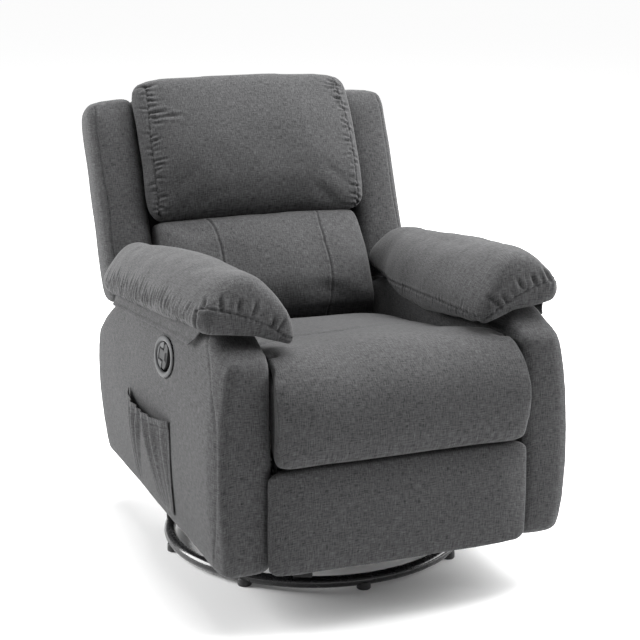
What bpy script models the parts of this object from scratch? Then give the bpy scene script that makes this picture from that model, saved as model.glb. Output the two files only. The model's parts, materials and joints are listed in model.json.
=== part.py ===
"""Swivel rocker recliner: ring base, rocker, reclining back, folding footrest.

The front of the chair looks along -Y, the floor is z = 0 and lengths are metres.
"Left" is the -X side, the side with the release handle and the pocket.
"""

import math

import bmesh
import bpy
from mathutils import Matrix, Vector
from mathutils.bvhtree import BVHTree

# The part's origin in the modelling frame: under the middle of the chair's outline
ORIGIN_Y = -0.0173

# Fits between touching pieces
FIT_GAP = 0.0003
PIN_GAP = 0.0006
CLOTH_GAP = 0.0008

# Ring base and swivel
SWIVEL_Y = -0.050
RING_RADIUS = 0.325
RING_TUBE_RADIUS = 0.0125
GLIDE_HEIGHT = 0.010
GLIDE_RADIUS = 0.015
GLIDE_COUNT = 8
BASE_TURN = math.radians(-3.0)
BAR_TURN = BASE_TURN + math.radians(67.5)
BAR_WIDTH = 0.040
BAR_HEIGHT = 0.018
HUB_RADIUS = 0.075
RACE_THICKNESS = 0.005
RACE_GAP = 0.005
BALL_RING_RADIUS = 0.085
BALL_RADIUS = 0.0045
GROOVE_RADIUS = 0.0060
BOLT_RADIUS = 0.010
RING_Z = GLIDE_HEIGHT + RING_TUBE_RADIUS - 0.002
BAR_Z = RING_Z + RING_TUBE_RADIUS + FIT_GAP
RACE_Z = BAR_Z + BAR_HEIGHT + FIT_GAP
ROCKER_PLATE_Z = RACE_Z + RACE_THICKNESS + RACE_GAP
ROCKER_PLATE_THICKNESS = 0.004

# Rocker
ROCKER_TRACK_X = 0.199
ROCKER_RAIL_WIDTH = 0.026
ROCKER_RAIL_WALL = 0.003
TUBE_OFFSET_Y = 0.100
ROCKER_RAIL_OVERHANG = 0.050
ROCKER_RAIL_LENGTH = 2 * (TUBE_OFFSET_Y + ROCKER_RAIL_OVERHANG)
ROCKER_RAIL_Z = ROCKER_PLATE_Z + ROCKER_PLATE_THICKNESS + FIT_GAP
ROCKER_CONTACT_Z = 0.105
CAM_NOSE_RADIUS = 0.100
CAM_HALF_LENGTH = 0.075
CAM_WIDTH = 0.022
CAM_FLANK = math.radians(10.0)
ROCK_AXIS_Z = ROCKER_CONTACT_Z + FIT_GAP + CAM_NOSE_RADIUS
TUBE_BOTTOM_Z = 0.125
TUBE_HEIGHT = 0.025
TUBE_DEPTH = 0.040
TUBE_WALL = 0.0025
SPRING_X = 0.150
SPRING_COIL_RADIUS = 0.018
SPRING_WIRE_RADIUS = 0.003
SPRING_TURNS = 4

# Mechanism side plates and the layers of the links, measured from the middle plane
SIDE_PLATE_X = 0.215
SIDE_PLATE_THICKNESS = 0.003
LINK_THICKNESS = 0.004
THIN_LINK_THICKNESS = 0.003
LINK_GAP = 0.001
LIFT_X = SIDE_PLATE_X + (SIDE_PLATE_THICKNESS + LINK_THICKNESS) / 2 + LINK_GAP
KNEE_X = LIFT_X + (LINK_THICKNESS + THIN_LINK_THICKNESS) / 2 + LINK_GAP
EXTENSION_X = KNEE_X + (LINK_THICKNESS + THIN_LINK_THICKNESS) / 2 + LINK_GAP
BRACKET_X = EXTENSION_X + (LINK_THICKNESS + THIN_LINK_THICKNESS) / 2 + LINK_GAP
STEERING_X = BRACKET_X + (LINK_THICKNESS + THIN_LINK_THICKNESS) / 2 + LINK_GAP
LINK_HALF_WIDTH = 0.009
PIN_RADIUS = 0.004

# Pivots of the footrest linkage as (y, z)
LIFT_PIVOT = Vector((-0.365, 0.312))
LIFT_LENGTH = 0.190
LIFT_CLOSED = math.radians(115.0)
CONTROL_OFFSET = Vector((0.0379, -0.0242))
KNEE_PIVOT = LIFT_PIVOT + LIFT_LENGTH * Vector((-math.cos(LIFT_CLOSED), -math.sin(LIFT_CLOSED)))
FOOT_PIVOT = Vector((-0.457, 0.300))
STEERING_KNEE = KNEE_PIVOT + Vector((0.050, -0.009))
STEERING_FOOT = FOOT_PIVOT + Vector((0.020, 0.010))
STEERING_EYE_RADIUS = 0.0135
DRIVE_TUBE_RADIUS = 0.009
STAY_TUBE_RADIUS = 0.007

# Seat
SEAT_HALF_WIDTH = 0.2555
SEAT_RAIL_X = 0.195
SEAT_RAIL_TOP_Z = 0.385
SEAT_RAIL_HEIGHT = 0.060
SEAT_RAIL_DEPTH = 0.018
SEAT_RAIL_FRONT_Y = -0.440
SEAT_RAIL_REAR_Y = 0.143
SEAT_SPRING_COUNT = 4
SEAT_SPRING_WIRE = 0.0018
SEAT_BOTTOM_Z = SEAT_RAIL_TOP_Z + 2 * SEAT_SPRING_WIRE + 2 * FIT_GAP
SEAT_CROWN = 0.014
SEAT_FLARE = 0.011

# Arms, their pillows and the flap under each pillow
ARM_INNER_X = 0.257
ARM_BOTTOM_Z = 0.116
ARM_TOP = ((-0.502, 0.562), (-0.437, 0.5963), (-0.250, 0.5765), (-0.080, 0.5585), (0.090, 0.5405),
           (0.215, 0.527), (0.320, 0.462), (0.390, 0.392))
ARM_FOOT = ((-0.514, 0.116), (-0.437, 0.116), (-0.250, 0.116), (-0.080, 0.116), (0.090, 0.116),
            (0.215, 0.116), (0.310, 0.116), (0.366, 0.116))
ARM_OUTER = ((0.100, 0.370), (0.116, 0.371), (0.200, 0.382), (0.300, 0.388), (0.370, 0.388),
             (0.467, 0.377), (0.530, 0.366), (0.574, 0.356), (0.610, 0.348))
ARM_ROWS = (0.0, 0.07, 0.25, 0.50, 0.76, 0.93, 1.0)
PILLOW_SLOPE = -0.106
PILLOW_STATIONS = (-0.455, -0.395, -0.270, -0.090, 0.080, 0.190, 0.252)
PILLOW_INNER = (0.209, 0.209, 0.214, 0.226, 0.249, 0.265, 0.268)
PILLOW_OUTER = (0.380, 0.386, 0.391, 0.392, 0.392, 0.390, 0.384)
PILLOW_HEIGHT = (0.104, 0.122, 0.128, 0.128, 0.125, 0.117, 0.094)
PILLOW_DROOP = (0.032, 0.030, 0.022, 0.014, 0.006, 0.000, 0.000)
FLAP_HEIGHT = 0.040
FLAP_THICKNESS = 0.004
FLAP_FRONT_Y = -0.425
FLAP_REAR_Y = 0.225

# Release handle on the left arm
HANDLE_Y = -0.168
HANDLE_Z = 0.482
HANDLE_TILT = math.radians(9.5)
CUP_LENGTH = 0.126
CUP_HEIGHT = 0.084
CUP_FLANGE = 0.009
CUP_FLANGE_THICKNESS = 0.004
CUP_WALL = 0.003
CUP_DEPTH = 0.030
LEVER_HINGE = -0.032
LEVER_THICKNESS = 0.007
LEVER_PIN_RADIUS = 0.003

# Side pocket
POCKET_REAR_Y = 0.075
POCKET_FRONT_Y = -0.230
POCKET_TOP_Z = 0.358
POCKET_BOTTOM_Z = 0.150
POCKET_MOUTH = 0.015
POCKET_SAG = 0.018
POCKET_FOLD = 0.0035
POCKET_FOLD_COUNT = 5
POCKET_CLOTH = 0.0025
POCKET_GAP = 0.0008

# Back: a plane through the back pivot that leans back by BACK_LEAN
BACK_PIVOT = Vector((0.200, 0.240))
BACK_LEAN = math.radians(22.5)
BACK_PIN_RADIUS = 0.005
UPRIGHT_X = 0.2208
WING_INNER_X = 0.2565
UPRIGHT_WIDTH = WING_INNER_X - FIT_GAP - UPRIGHT_X
UPRIGHT_DEPTH = 0.040
UPRIGHT_FOOT = 0.050
UPRIGHT_TOP = 0.715
BACK_RAIL_HEIGHT = 0.040
PANEL_HALF_WIDTH = 0.2555
PANEL_THICKNESS = 0.024
PANEL_FOOT = 0.045
PANEL_TOP = 0.755
WING_OUTER_X = 0.377
WING_FRONT = -0.056
WING_REAR = 0.046
WING_FOOT = 0.268
WING_TOP = 0.740
HEAD_HALF_WIDTH = 0.2555
HEAD_FLARE = 0.030
HEAD_FOOT = 0.432
HEAD_TOP = 0.776
LUMBAR_HALF_WIDTH = 0.248
LUMBAR_TAPER = 0.016
LUMBAR_SEAM = 0.53
LUMBAR_COLUMNS = (-1.0, -0.9, -LUMBAR_SEAM, -0.26, 0.0, 0.26, LUMBAR_SEAM, 0.9, 1.0)

# Footrest
PAD_HALF_WIDTH = 0.2545
PAD_FLARE = 0.014
PAD_BOTTOM_Z = 0.121
PAD_TOP_Z = 0.3405
PAD_FRONT_Y = -0.552
BOARD_BACK_Y = -0.487
BOARD_THICKNESS = 0.012
BOARD_HALF_WIDTH = 0.248

for leftover in list(bpy.data.objects):
    bpy.data.objects.remove(leftover, do_unlink=True)

PARTS = bpy.data.collections.new("Swivel_Rocker_Recliner")
CUTTERS = bpy.data.collections.new("Cutters")
bpy.context.scene.collection.children.link(PARTS)
bpy.context.scene.collection.children.link(CUTTERS)

PAINTS = {
    "fabric_grey": ((0.10, 0.105, 0.11), 0.0, 0.9),
    "steel_black": ((0.015, 0.015, 0.017), 0.6, 0.3),
    "steel_zinc": ((0.45, 0.46, 0.47), 0.9, 0.45),
    "spring_steel": ((0.20, 0.20, 0.21), 0.9, 0.4),
    "plywood": ((0.48, 0.34, 0.20), 0.0, 0.7),
    "plastic_black": ((0.02, 0.02, 0.02), 0.0, 0.5),
    "plastic_grey": ((0.22, 0.23, 0.24), 0.1, 0.4),
}


def paint(slot):
    """Return the shared Principled material of a slot, made at its first use."""
    found = bpy.data.materials.get(slot)
    if found:
        return found
    colour, metallic, roughness = PAINTS[slot]
    made = bpy.data.materials.new(slot)
    made.use_nodes = True
    shader = made.node_tree.nodes["Principled BSDF"]
    shader.inputs["Base Color"].default_value = (*colour, 1.0)
    shader.inputs["Metallic"].default_value = metallic
    shader.inputs["Roughness"].default_value = roughness
    made.diffuse_color = (*colour, 1.0)
    return made


def add_part(name, mesh, slot):
    """Put a mesh into the chair's collection as one named part."""
    part = bpy.data.objects.new(name, mesh)
    mesh.materials.clear()
    mesh.materials.append(paint(slot))
    PARTS.objects.link(part)
    return part


def add_cutter(name, mesh):
    """Put a mesh into the hidden collection of Boolean tools."""
    tool = bpy.data.objects.new(name, mesh)
    tool.hide_render = True
    tool.display_type = "WIRE"
    CUTTERS.objects.link(tool)
    return tool


def boolean(part, mesh, operation):
    """Join a mesh to a part or cut it away."""
    step = part.modifiers.new(operation.title(), "BOOLEAN")
    step.operation = operation
    step.solver = "EXACT"
    step.object = add_cutter(part.name + "_tool", mesh)
    return part


def bevel(part, width, segments=1):
    """Round the sharp edges of a hard part."""
    step = part.modifiers.new("Bevel", "BEVEL")
    step.width = width
    step.segments = segments
    step.limit_method = "ANGLE"
    step.angle_limit = math.radians(40.0)
    return part


def table(points, value):
    """Read a value from a table of (input, output) pairs."""
    if value <= points[0][0]:
        return points[0][1]
    for (x0, y0), (x1, y1) in zip(points, points[1:]):
        if value <= x1:
            return y0 + (y1 - y0) * (value - x0) / (x1 - x0)
    return points[-1][1]


def station(values, share):
    """Read evenly spaced stations at a share of 0 to 1."""
    last = len(values) - 1
    return table([(i / last, value) for i, value in enumerate(values)], share)


def face_out(form):
    """Turn all faces of a closed form outwards."""
    bmesh.ops.recalc_face_normals(form, faces=form.faces)
    if form.calc_volume(signed=True) < 0.0:
        bmesh.ops.reverse_faces(form, faces=form.faces)


def block_mesh(name, low, high, place=None):
    """A box between two corners, moved by an optional mapping."""
    mesh = bpy.data.meshes.new(name)
    form = bmesh.new()
    bmesh.ops.create_cube(form, size=1.0)
    for vertex in form.verts:
        share = vertex.co + Vector((0.5, 0.5, 0.5))
        spot = [a + (b - a) * s for a, b, s in zip(low, high, share)]
        vertex.co = place(*spot) if place else Vector(spot)
    face_out(form)
    form.to_mesh(mesh)
    form.free()
    return mesh


def rod_mesh(name, start, end, radius, sides=10):
    """A round rod between two points."""
    mesh = bpy.data.meshes.new(name)
    form = bmesh.new()
    way = Vector(end) - Vector(start)
    turn = way.to_track_quat("Z", "Y").to_matrix().to_4x4()
    spot = Matrix.Translation((Vector(start) + Vector(end)) / 2) @ turn
    bmesh.ops.create_cone(form, cap_ends=True, segments=sides, radius1=radius, radius2=radius,
                          depth=way.length, matrix=spot)
    form.to_mesh(mesh)
    form.free()
    return mesh


def curve_mesh(name, curve, matrix=None):
    """Turn curve data into a welded mesh."""
    holder = bpy.data.objects.new(name, curve)
    PARTS.objects.link(holder)
    graph = bpy.context.evaluated_depsgraph_get()
    mesh = bpy.data.meshes.new_from_object(holder.evaluated_get(graph))
    bpy.data.objects.remove(holder, do_unlink=True)
    bpy.data.curves.remove(curve)
    form = bmesh.new()
    form.from_mesh(mesh)
    bmesh.ops.remove_doubles(form, verts=form.verts, dist=0.00001)
    if matrix:
        bmesh.ops.transform(form, matrix=matrix, verts=form.verts)
    face_out(form)
    form.to_mesh(mesh)
    form.free()
    mesh.name = name
    return mesh


ALONG_X = Matrix(((0, 0, 1, 0), (1, 0, 0, 0), (0, 1, 0, 0), (0, 0, 0, 1)))
ALONG_Y = Matrix(((1, 0, 0, 0), (0, 0, -1, 0), (0, 1, 0, 0), (0, 0, 0, 1)))
ALONG_Z = Matrix.Identity(4)


def plate_mesh(name, loops, thickness, matrix):
    """A flat outline with holes, given a thickness; the first loop is the outside."""
    curve = bpy.data.curves.new(name, "CURVE")
    curve.dimensions = "2D"
    curve.fill_mode = "BOTH"
    curve.extrude = thickness / 2
    for loop in loops:
        spline = curve.splines.new("POLY")
        spline.points.add(len(loop) - 1)
        for point, spot in zip(spline.points, loop):
            point.co = (spot[0], spot[1], 0.0, 1.0)
        spline.use_cyclic_u = True
    return curve_mesh(name, curve, matrix)


def tube_mesh(name, points, radius, rings=0, closed=False):
    """A round tube or wire along a row of points."""
    curve = bpy.data.curves.new(name, "CURVE")
    curve.dimensions = "3D"
    curve.bevel_depth = radius
    curve.bevel_resolution = rings
    curve.use_fill_caps = not closed
    spline = curve.splines.new("POLY")
    spline.points.add(len(points) - 1)
    for point, spot in zip(spline.points, points):
        point.co = (*spot, 1.0)
    spline.use_cyclic_u = closed
    return curve_mesh(name, curve)


def turned_mesh(name, profile, closed, steps=24):
    """A profile of (radius, z) points swept round the swivel axis."""
    mesh = bpy.data.meshes.new(name)
    form = bmesh.new()
    corners = [form.verts.new((r, 0.0, z)) for r, z in profile]
    pairs = list(zip(corners, corners[1:]))
    if closed:
        pairs.append((corners[-1], corners[0]))
    edges = [form.edges.new(pair) for pair in pairs]
    bmesh.ops.spin(form, geom=corners + edges, cent=(0, 0, 0), axis=(0, 0, 1),
                   angle=math.tau, steps=steps, use_merge=True)
    bmesh.ops.remove_doubles(form, verts=form.verts, dist=0.00001)
    bmesh.ops.translate(form, vec=(0.0, SWIVEL_Y, 0.0), verts=form.verts)
    face_out(form)
    form.to_mesh(mesh)
    form.free()
    return mesh


def circle(centre, radius, sides=12):
    """Points of a circle in an outline's plane."""
    return [(centre[0] + radius * math.cos(math.tau * i / sides),
             centre[1] + radius * math.sin(math.tau * i / sides)) for i in range(sides)]


def rounded(points, radius, steps=3):
    """An outline with each corner rounded."""
    out = []
    count = len(points)
    for i, corner in enumerate(points):
        here = Vector(corner)
        before = Vector(points[i - 1]) - here
        after = Vector(points[(i + 1) % count]) - here
        start = here + before.normalized() * min(radius, before.length * 0.45)
        end = here + after.normalized() * min(radius, after.length * 0.45)
        for k in range(steps + 1):
            t = k / steps
            out.append(start * (1 - t) ** 2 + here * 2 * t * (1 - t) + end * t ** 2)
    return out


def bar(start, end, half_width, end_half_width=None, steps=6):
    """An outline with two round ends, for a link between two pivots."""
    tip = end_half_width or half_width
    way = Vector(end) - Vector(start)
    heading = math.atan2(way.y, way.x)
    out = []
    for k in range(steps + 1):
        angle = heading - math.pi / 2 + math.pi * k / steps
        out.append((end[0] + tip * math.cos(angle), end[1] + tip * math.sin(angle)))
    for k in range(steps + 1):
        angle = heading + math.pi / 2 + math.pi * k / steps
        out.append((start[0] + half_width * math.cos(angle), start[1] + half_width * math.sin(angle)))
    return out


def soft_part(name, cuts, place, slot="fabric_grey", levels=1):
    """A padded form: a cage of quads on a cube, mapped by place(a, b, c) and subdivided.

    The three inputs of place run from 0 to 1 across, along and up the cage.
    """
    mesh = bpy.data.meshes.new(name)
    form = bmesh.new()
    bmesh.ops.create_cube(form, size=1.0)
    for axis in range(3):
        edges = [edge for edge in form.edges
                 if abs(edge.verts[0].co[axis] - edge.verts[1].co[axis]) > 0.5]
        if cuts[axis]:
            bmesh.ops.subdivide_edges(form, edges=edges, cuts=cuts[axis], use_grid_fill=True)
    for vertex in form.verts:
        vertex.co = place(*(vertex.co + Vector((0.5, 0.5, 0.5))))
    face_out(form)
    form.to_mesh(mesh)
    form.free()
    part = add_part(name, mesh, slot)
    step = part.modifiers.new("Subdivision", "SUBSURF")
    step.levels = levels
    step.render_levels = levels
    return part


def spread(share, strength=0.65):
    """Move evenly spaced shares of 0 to 1 towards both ends."""
    offset = 2.0 * share - 1.0
    return 0.5 + 0.5 * math.copysign(abs(offset) ** strength, offset)


def back_point(x, n, s):
    """A point of the back: n behind the back plane and s up it from the pivot."""
    y = BACK_PIVOT.x + n * math.cos(BACK_LEAN) + s * math.sin(BACK_LEAN)
    z = BACK_PIVOT.y - n * math.sin(BACK_LEAN) + s * math.cos(BACK_LEAN)
    return Vector((x, y, z))


def surface_of(part):
    """A search tree of a part's finished surface."""
    graph = bpy.context.evaluated_depsgraph_get()
    graph.update()
    return BVHTree.FromObject(part, graph)


def make_base():
    """Ring with glides, cross bars, bearing race, ball ring and king bolt."""
    count = 40
    ring = [(RING_RADIUS * math.cos(math.tau * i / count),
             SWIVEL_Y + RING_RADIUS * math.sin(math.tau * i / count), RING_Z) for i in range(count)]
    part = add_part("base_ring", tube_mesh("base_ring", ring, RING_TUBE_RADIUS, 2, True), "steel_black")
    for i in range(GLIDE_COUNT):
        angle = BASE_TURN + math.tau * i / GLIDE_COUNT
        x = RING_RADIUS * math.cos(angle)
        y = SWIVEL_Y + RING_RADIUS * math.sin(angle)
        foot = rod_mesh("glide", (x, y, 0.0), (x, y, RING_Z), GLIDE_RADIUS, 12)
        boolean(part, foot, "UNION")

    middle = Vector((0.0, SWIVEL_Y, 0.0))
    low = (-RING_RADIUS - 0.008, -BAR_WIDTH / 2, BAR_Z)
    high = (RING_RADIUS + 0.008, BAR_WIDTH / 2, BAR_Z + BAR_HEIGHT)

    def turned_bar(extra):
        turn = Matrix.Rotation(BAR_TURN + extra, 4, "Z")
        return block_mesh("bar", low, high, lambda x, y, z: turn @ Vector((x, y, z)) + middle)

    part = add_part("cross_bars", turned_bar(0.0), "steel_black")
    boolean(part, turned_bar(math.pi / 2), "UNION")
    hub_low = middle + Vector((0.0, 0.0, BAR_Z))
    hub_high = middle + Vector((0.0, 0.0, BAR_Z + BAR_HEIGHT))
    boolean(part, rod_mesh("hub", hub_low, hub_high, HUB_RADIUS, 24), "UNION")
    rise = Vector((0.0, 0.0, 0.01))
    boolean(part, rod_mesh("hole", hub_low - rise, hub_high + rise, BOLT_RADIUS + PIN_GAP), "DIFFERENCE")

    top = RACE_Z + RACE_THICKNESS
    middle_z = top + RACE_GAP / 2
    groove = []
    seat_radius = BALL_RADIUS + FIT_GAP
    edge = math.asin(RACE_GAP / 2 / seat_radius)
    for k in range(7):
        angle = math.pi + edge + (math.pi - 2 * edge) * k / 6
        groove.append((BALL_RING_RADIUS + seat_radius * math.cos(angle),
                       middle_z + seat_radius * math.sin(angle)))
    profile = [(0.045, top), *groove, (0.110, top), (0.110, RACE_Z), (0.045, RACE_Z)]
    add_part("lower_race", turned_mesh("lower_race", profile, True), "steel_zinc")

    balls = circle((BALL_RING_RADIUS, middle_z), BALL_RADIUS, 8)
    add_part("ball_ring", turned_mesh("ball_ring", balls, True), "steel_zinc")

    head_z = ROCKER_PLATE_Z + ROCKER_PLATE_THICKNESS + PIN_GAP
    foot_z = BAR_Z - FIT_GAP
    profile = [(0.0, foot_z - 0.009), (0.018, foot_z - 0.009), (0.018, foot_z), (BOLT_RADIUS, foot_z),
               (BOLT_RADIUS, head_z), (0.020, head_z), (0.020, head_z + 0.007), (0.0, head_z + 0.007)]
    add_part("king_bolt", turned_mesh("king_bolt", profile, False, 16), "steel_zinc")


def make_rocker_base():
    """Turning plate with the upper race, two rocker rails and four coil springs."""
    half_x = 0.222
    half_y = ROCKER_RAIL_LENGTH / 2 + 0.005
    outline = rounded([(-half_x, SWIVEL_Y - half_y), (half_x, SWIVEL_Y - half_y),
                       (half_x, SWIVEL_Y + half_y), (-half_x, SWIVEL_Y + half_y)], 0.02)
    hole = circle((0.0, SWIVEL_Y), BOLT_RADIUS + PIN_GAP)
    lift = Matrix.Translation((0, 0, ROCKER_PLATE_Z + ROCKER_PLATE_THICKNESS / 2))
    mesh = plate_mesh("rocker_plate", [outline, hole], ROCKER_PLATE_THICKNESS, lift)
    part = add_part("rocker_plate", mesh, "steel_black")
    groove = circle((BALL_RING_RADIUS, ROCKER_PLATE_Z - RACE_GAP / 2), GROOVE_RADIUS, 8)
    boolean(part, turned_mesh("groove", groove, True), "DIFFERENCE")

    for side, label in ((-1, "left"), (1, "right")):
        outer = ROCKER_RAIL_WIDTH / 2
        inner = outer - ROCKER_RAIL_WALL
        x = side * ROCKER_TRACK_X
        low = ROCKER_RAIL_Z
        top = ROCKER_CONTACT_Z
        outline = [(x - outer, low), (x - inner, low), (x - inner, top - ROCKER_RAIL_WALL),
                   (x + inner, top - ROCKER_RAIL_WALL), (x + inner, low), (x + outer, low),
                   (x + outer, top), (x - outer, top)]
        matrix = Matrix.Translation((0, SWIVEL_Y, 0)) @ ALONG_Y
        mesh = plate_mesh("rocker_rail", [outline], ROCKER_RAIL_LENGTH, matrix)
        add_part("rocker_rail_" + label, mesh, "steel_black")
        for end, where in ((-1, "front"), (1, "rear")):
            low_z = ROCKER_RAIL_Z + SPRING_WIRE_RADIUS
            high_z = TUBE_BOTTOM_Z - FIT_GAP - SPRING_WIRE_RADIUS
            per_turn = 9
            steps = per_turn * SPRING_TURNS
            points = []
            for k in range(steps + 1):
                angle = math.tau * k / per_turn
                share = (k - per_turn) / (steps - 2 * per_turn)
                share = min(max(share, 0.0), 1.0)
                crowd = 2 * SPRING_WIRE_RADIUS * 1.15
                z = low_z + crowd + (high_z - low_z - 2 * crowd) * share
                z -= crowd * max(0.0, 1.0 - k / per_turn)
                z += crowd * max(0.0, (k - steps + per_turn) / per_turn)
                points.append((side * SPRING_X + SPRING_COIL_RADIUS * math.cos(angle),
                               SWIVEL_Y + end * TUBE_OFFSET_Y + SPRING_COIL_RADIUS * math.sin(angle), z))
            mesh = tube_mesh("rocker_spring", points, SPRING_WIRE_RADIUS)
            add_part("rocker_spring_%s_%s" % (label, where), mesh, "spring_steel")


def make_chassis():
    """Cross tubes, side plates, rocker cams, seat rails and seat springs."""
    for end, where in ((-1, "front"), (1, "rear")):
        y = SWIVEL_Y + end * TUBE_OFFSET_Y
        z = TUBE_BOTTOM_Z
        outline = [(y - TUBE_DEPTH / 2, z), (y + TUBE_DEPTH / 2, z),
                   (y + TUBE_DEPTH / 2, z + TUBE_HEIGHT), (y - TUBE_DEPTH / 2, z + TUBE_HEIGHT)]
        bore = [(y - TUBE_DEPTH / 2 + TUBE_WALL, z + TUBE_WALL),
                (y + TUBE_DEPTH / 2 - TUBE_WALL, z + TUBE_WALL),
                (y + TUBE_DEPTH / 2 - TUBE_WALL, z + TUBE_HEIGHT - TUBE_WALL),
                (y - TUBE_DEPTH / 2 + TUBE_WALL, z + TUBE_HEIGHT - TUBE_WALL)]
        mesh = plate_mesh("cross_tube", [outline, bore], 2 * (ARM_INNER_X - FIT_GAP), ALONG_X)
        add_part("cross_tube_" + where, mesh, "steel_black")

    plate_low = TUBE_BOTTOM_Z + TUBE_HEIGHT + FIT_GAP
    for side, label in ((-1, "left"), (1, "right")):
        nose = LIFT_PIVOT.x - 0.032
        outline = rounded([(nose, 0.288), (nose, 0.360), (0.110, 0.360), (0.226, 0.272),
                           (0.226, 0.212), (0.185, 0.206), (0.110, plate_low), (-0.200, plate_low),
                           (nose + 0.047, 0.262)], 0.012)
        holes = [circle(LIFT_PIVOT, DRIVE_TUBE_RADIUS + PIN_GAP),
                 circle(LIFT_PIVOT + CONTROL_OFFSET, PIN_RADIUS + PIN_GAP),
                 circle(BACK_PIVOT, BACK_PIN_RADIUS + PIN_GAP)]
        spot = Matrix.Translation((side * SIDE_PLATE_X, 0, 0)) @ ALONG_X
        part = add_part("side_plate_" + label,
                        plate_mesh("side_plate", [outline, *holes], SIDE_PLATE_THICKNESS, spot), "steel_zinc")
        flange_in = side * (ROCKER_TRACK_X - ROCKER_RAIL_WIDTH / 2)
        flange_out = side * SIDE_PLATE_X
        flange = block_mesh("flange", (min(flange_in, flange_out), SWIVEL_Y - 0.130, plate_low),
                            (max(flange_in, flange_out), SWIVEL_Y + 0.130, plate_low + 0.004))
        boolean(part, flange, "UNION")

        tread = []
        spread_angle = CAM_FLANK
        for k in range(7):
            angle = -spread_angle + 2 * spread_angle * k / 6
            tread.append((SWIVEL_Y + CAM_NOSE_RADIUS * math.sin(angle),
                         ROCK_AXIS_Z - CAM_NOSE_RADIUS * math.cos(angle)))
        run = CAM_HALF_LENGTH - (tread[-1][0] - SWIVEL_Y)
        shoulder = tread[-1][1] + run * math.tan(CAM_FLANK)
        cam_top = plate_low - FIT_GAP
        outline = [*tread, (SWIVEL_Y + CAM_HALF_LENGTH, shoulder), (SWIVEL_Y + CAM_HALF_LENGTH, cam_top),
                   (SWIVEL_Y - CAM_HALF_LENGTH, cam_top), (SWIVEL_Y - CAM_HALF_LENGTH, shoulder)]
        spot = Matrix.Translation((side * ROCKER_TRACK_X, 0, 0)) @ ALONG_X
        add_part("rocker_cam_" + label, plate_mesh("rocker_cam", [outline], CAM_WIDTH, spot), "plastic_black")

        rail_in = side * SEAT_RAIL_X
        rail_out = side * (SIDE_PLATE_X - SIDE_PLATE_THICKNESS / 2 - FIT_GAP)
        low = (min(rail_in, rail_out), SEAT_RAIL_FRONT_Y, SEAT_RAIL_TOP_Z - SEAT_RAIL_HEIGHT)
        high = (max(rail_in, rail_out), SEAT_RAIL_REAR_Y, SEAT_RAIL_TOP_Z)
        add_part("seat_rail_" + label, block_mesh("seat_rail", low, high), "plywood")

    span = SEAT_RAIL_X - FIT_GAP
    for where, y in (("front", SEAT_RAIL_FRONT_Y), ("rear", SEAT_RAIL_REAR_Y - SEAT_RAIL_DEPTH)):
        low = (-span, y, SEAT_RAIL_TOP_Z - SEAT_RAIL_HEIGHT)
        high = (span, y + SEAT_RAIL_DEPTH, SEAT_RAIL_TOP_Z)
        add_part("seat_rail_" + where, block_mesh("seat_rail", low, high), "plywood")

    start = SEAT_RAIL_FRONT_Y + 0.006
    end = SEAT_RAIL_REAR_Y - 0.006
    waves = 8
    for i in range(SEAT_SPRING_COUNT):
        x = (i - (SEAT_SPRING_COUNT - 1) / 2) * 0.098
        z = SEAT_RAIL_TOP_Z + FIT_GAP + SEAT_SPRING_WIRE
        points = [(x, start, z)]
        for k in range(waves):
            near = start + 0.010 + (end - start - 0.020) * (k + 0.25) / waves
            far = start + 0.010 + (end - start - 0.020) * (k + 0.75) / waves
            reach = 0.019 if k % 2 else -0.019
            points += [(x + 0.55 * reach, near - 0.010, z), (x + reach, near, z),
                       (x + reach, far, z), (x + 0.55 * reach, far + 0.010, z)]
        points.append((x, end, z))
        mesh = tube_mesh("seat_spring", points, SEAT_SPRING_WIRE)
        add_part("seat_spring_%d" % (i + 1), mesh, "spring_steel")


def make_seat_cushion():
    """Seat cushion whose front rolls down over the front rail."""
    outer = ((0.165, 0.436), (0.120, 0.450), (0.000, 0.468), (-0.140, 0.488), (-0.295, 0.512),
             (-0.420, 0.536), (-0.508, 0.526), (-0.556, 0.470), (-0.562, 0.400), (-0.555, 0.354),
             (-0.548, 0.341))
    inner_z = SEAT_BOTTOM_Z
    inner = ((0.165, inner_z), (0.120, inner_z), (0.000, inner_z), (-0.140, inner_z), (-0.295, inner_z),
             (-0.380, inner_z), (-0.458, 0.404), (-0.448, 0.377), (-0.446, 0.366), (-0.452, 0.355),
             (-0.460, 0.341))
    outer_y = [spot[0] for spot in outer]
    outer_z = [spot[1] for spot in outer]
    inner_y = [spot[0] for spot in inner]
    inner_zs = [spot[1] for spot in inner]

    def place(a, b, c):
        across = 2.0 * spread(a, 0.55) - 1.0
        c = spread(c, 0.55)
        crown = SEAT_CROWN * (1.0 - across ** 2) * c * math.sin(math.pi * min(b + 0.15, 1.0)) ** 0.5
        y = (1 - c) * station(inner_y, b) + c * station(outer_y, b)
        z = (1 - c) * station(inner_zs, b) + c * station(outer_z, b)
        front = max(0.0, (b - 0.6) / 0.4)
        y -= 0.5 * crown * front
        z += crown * (1.0 - 0.6 * front)
        half = SEAT_HALF_WIDTH + (SEAT_FLARE * c if b > 0.65 else 0.0)
        return Vector((half * across, y, z))

    soft_part("seat_cushion", (5, 9, 2), place)


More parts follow.
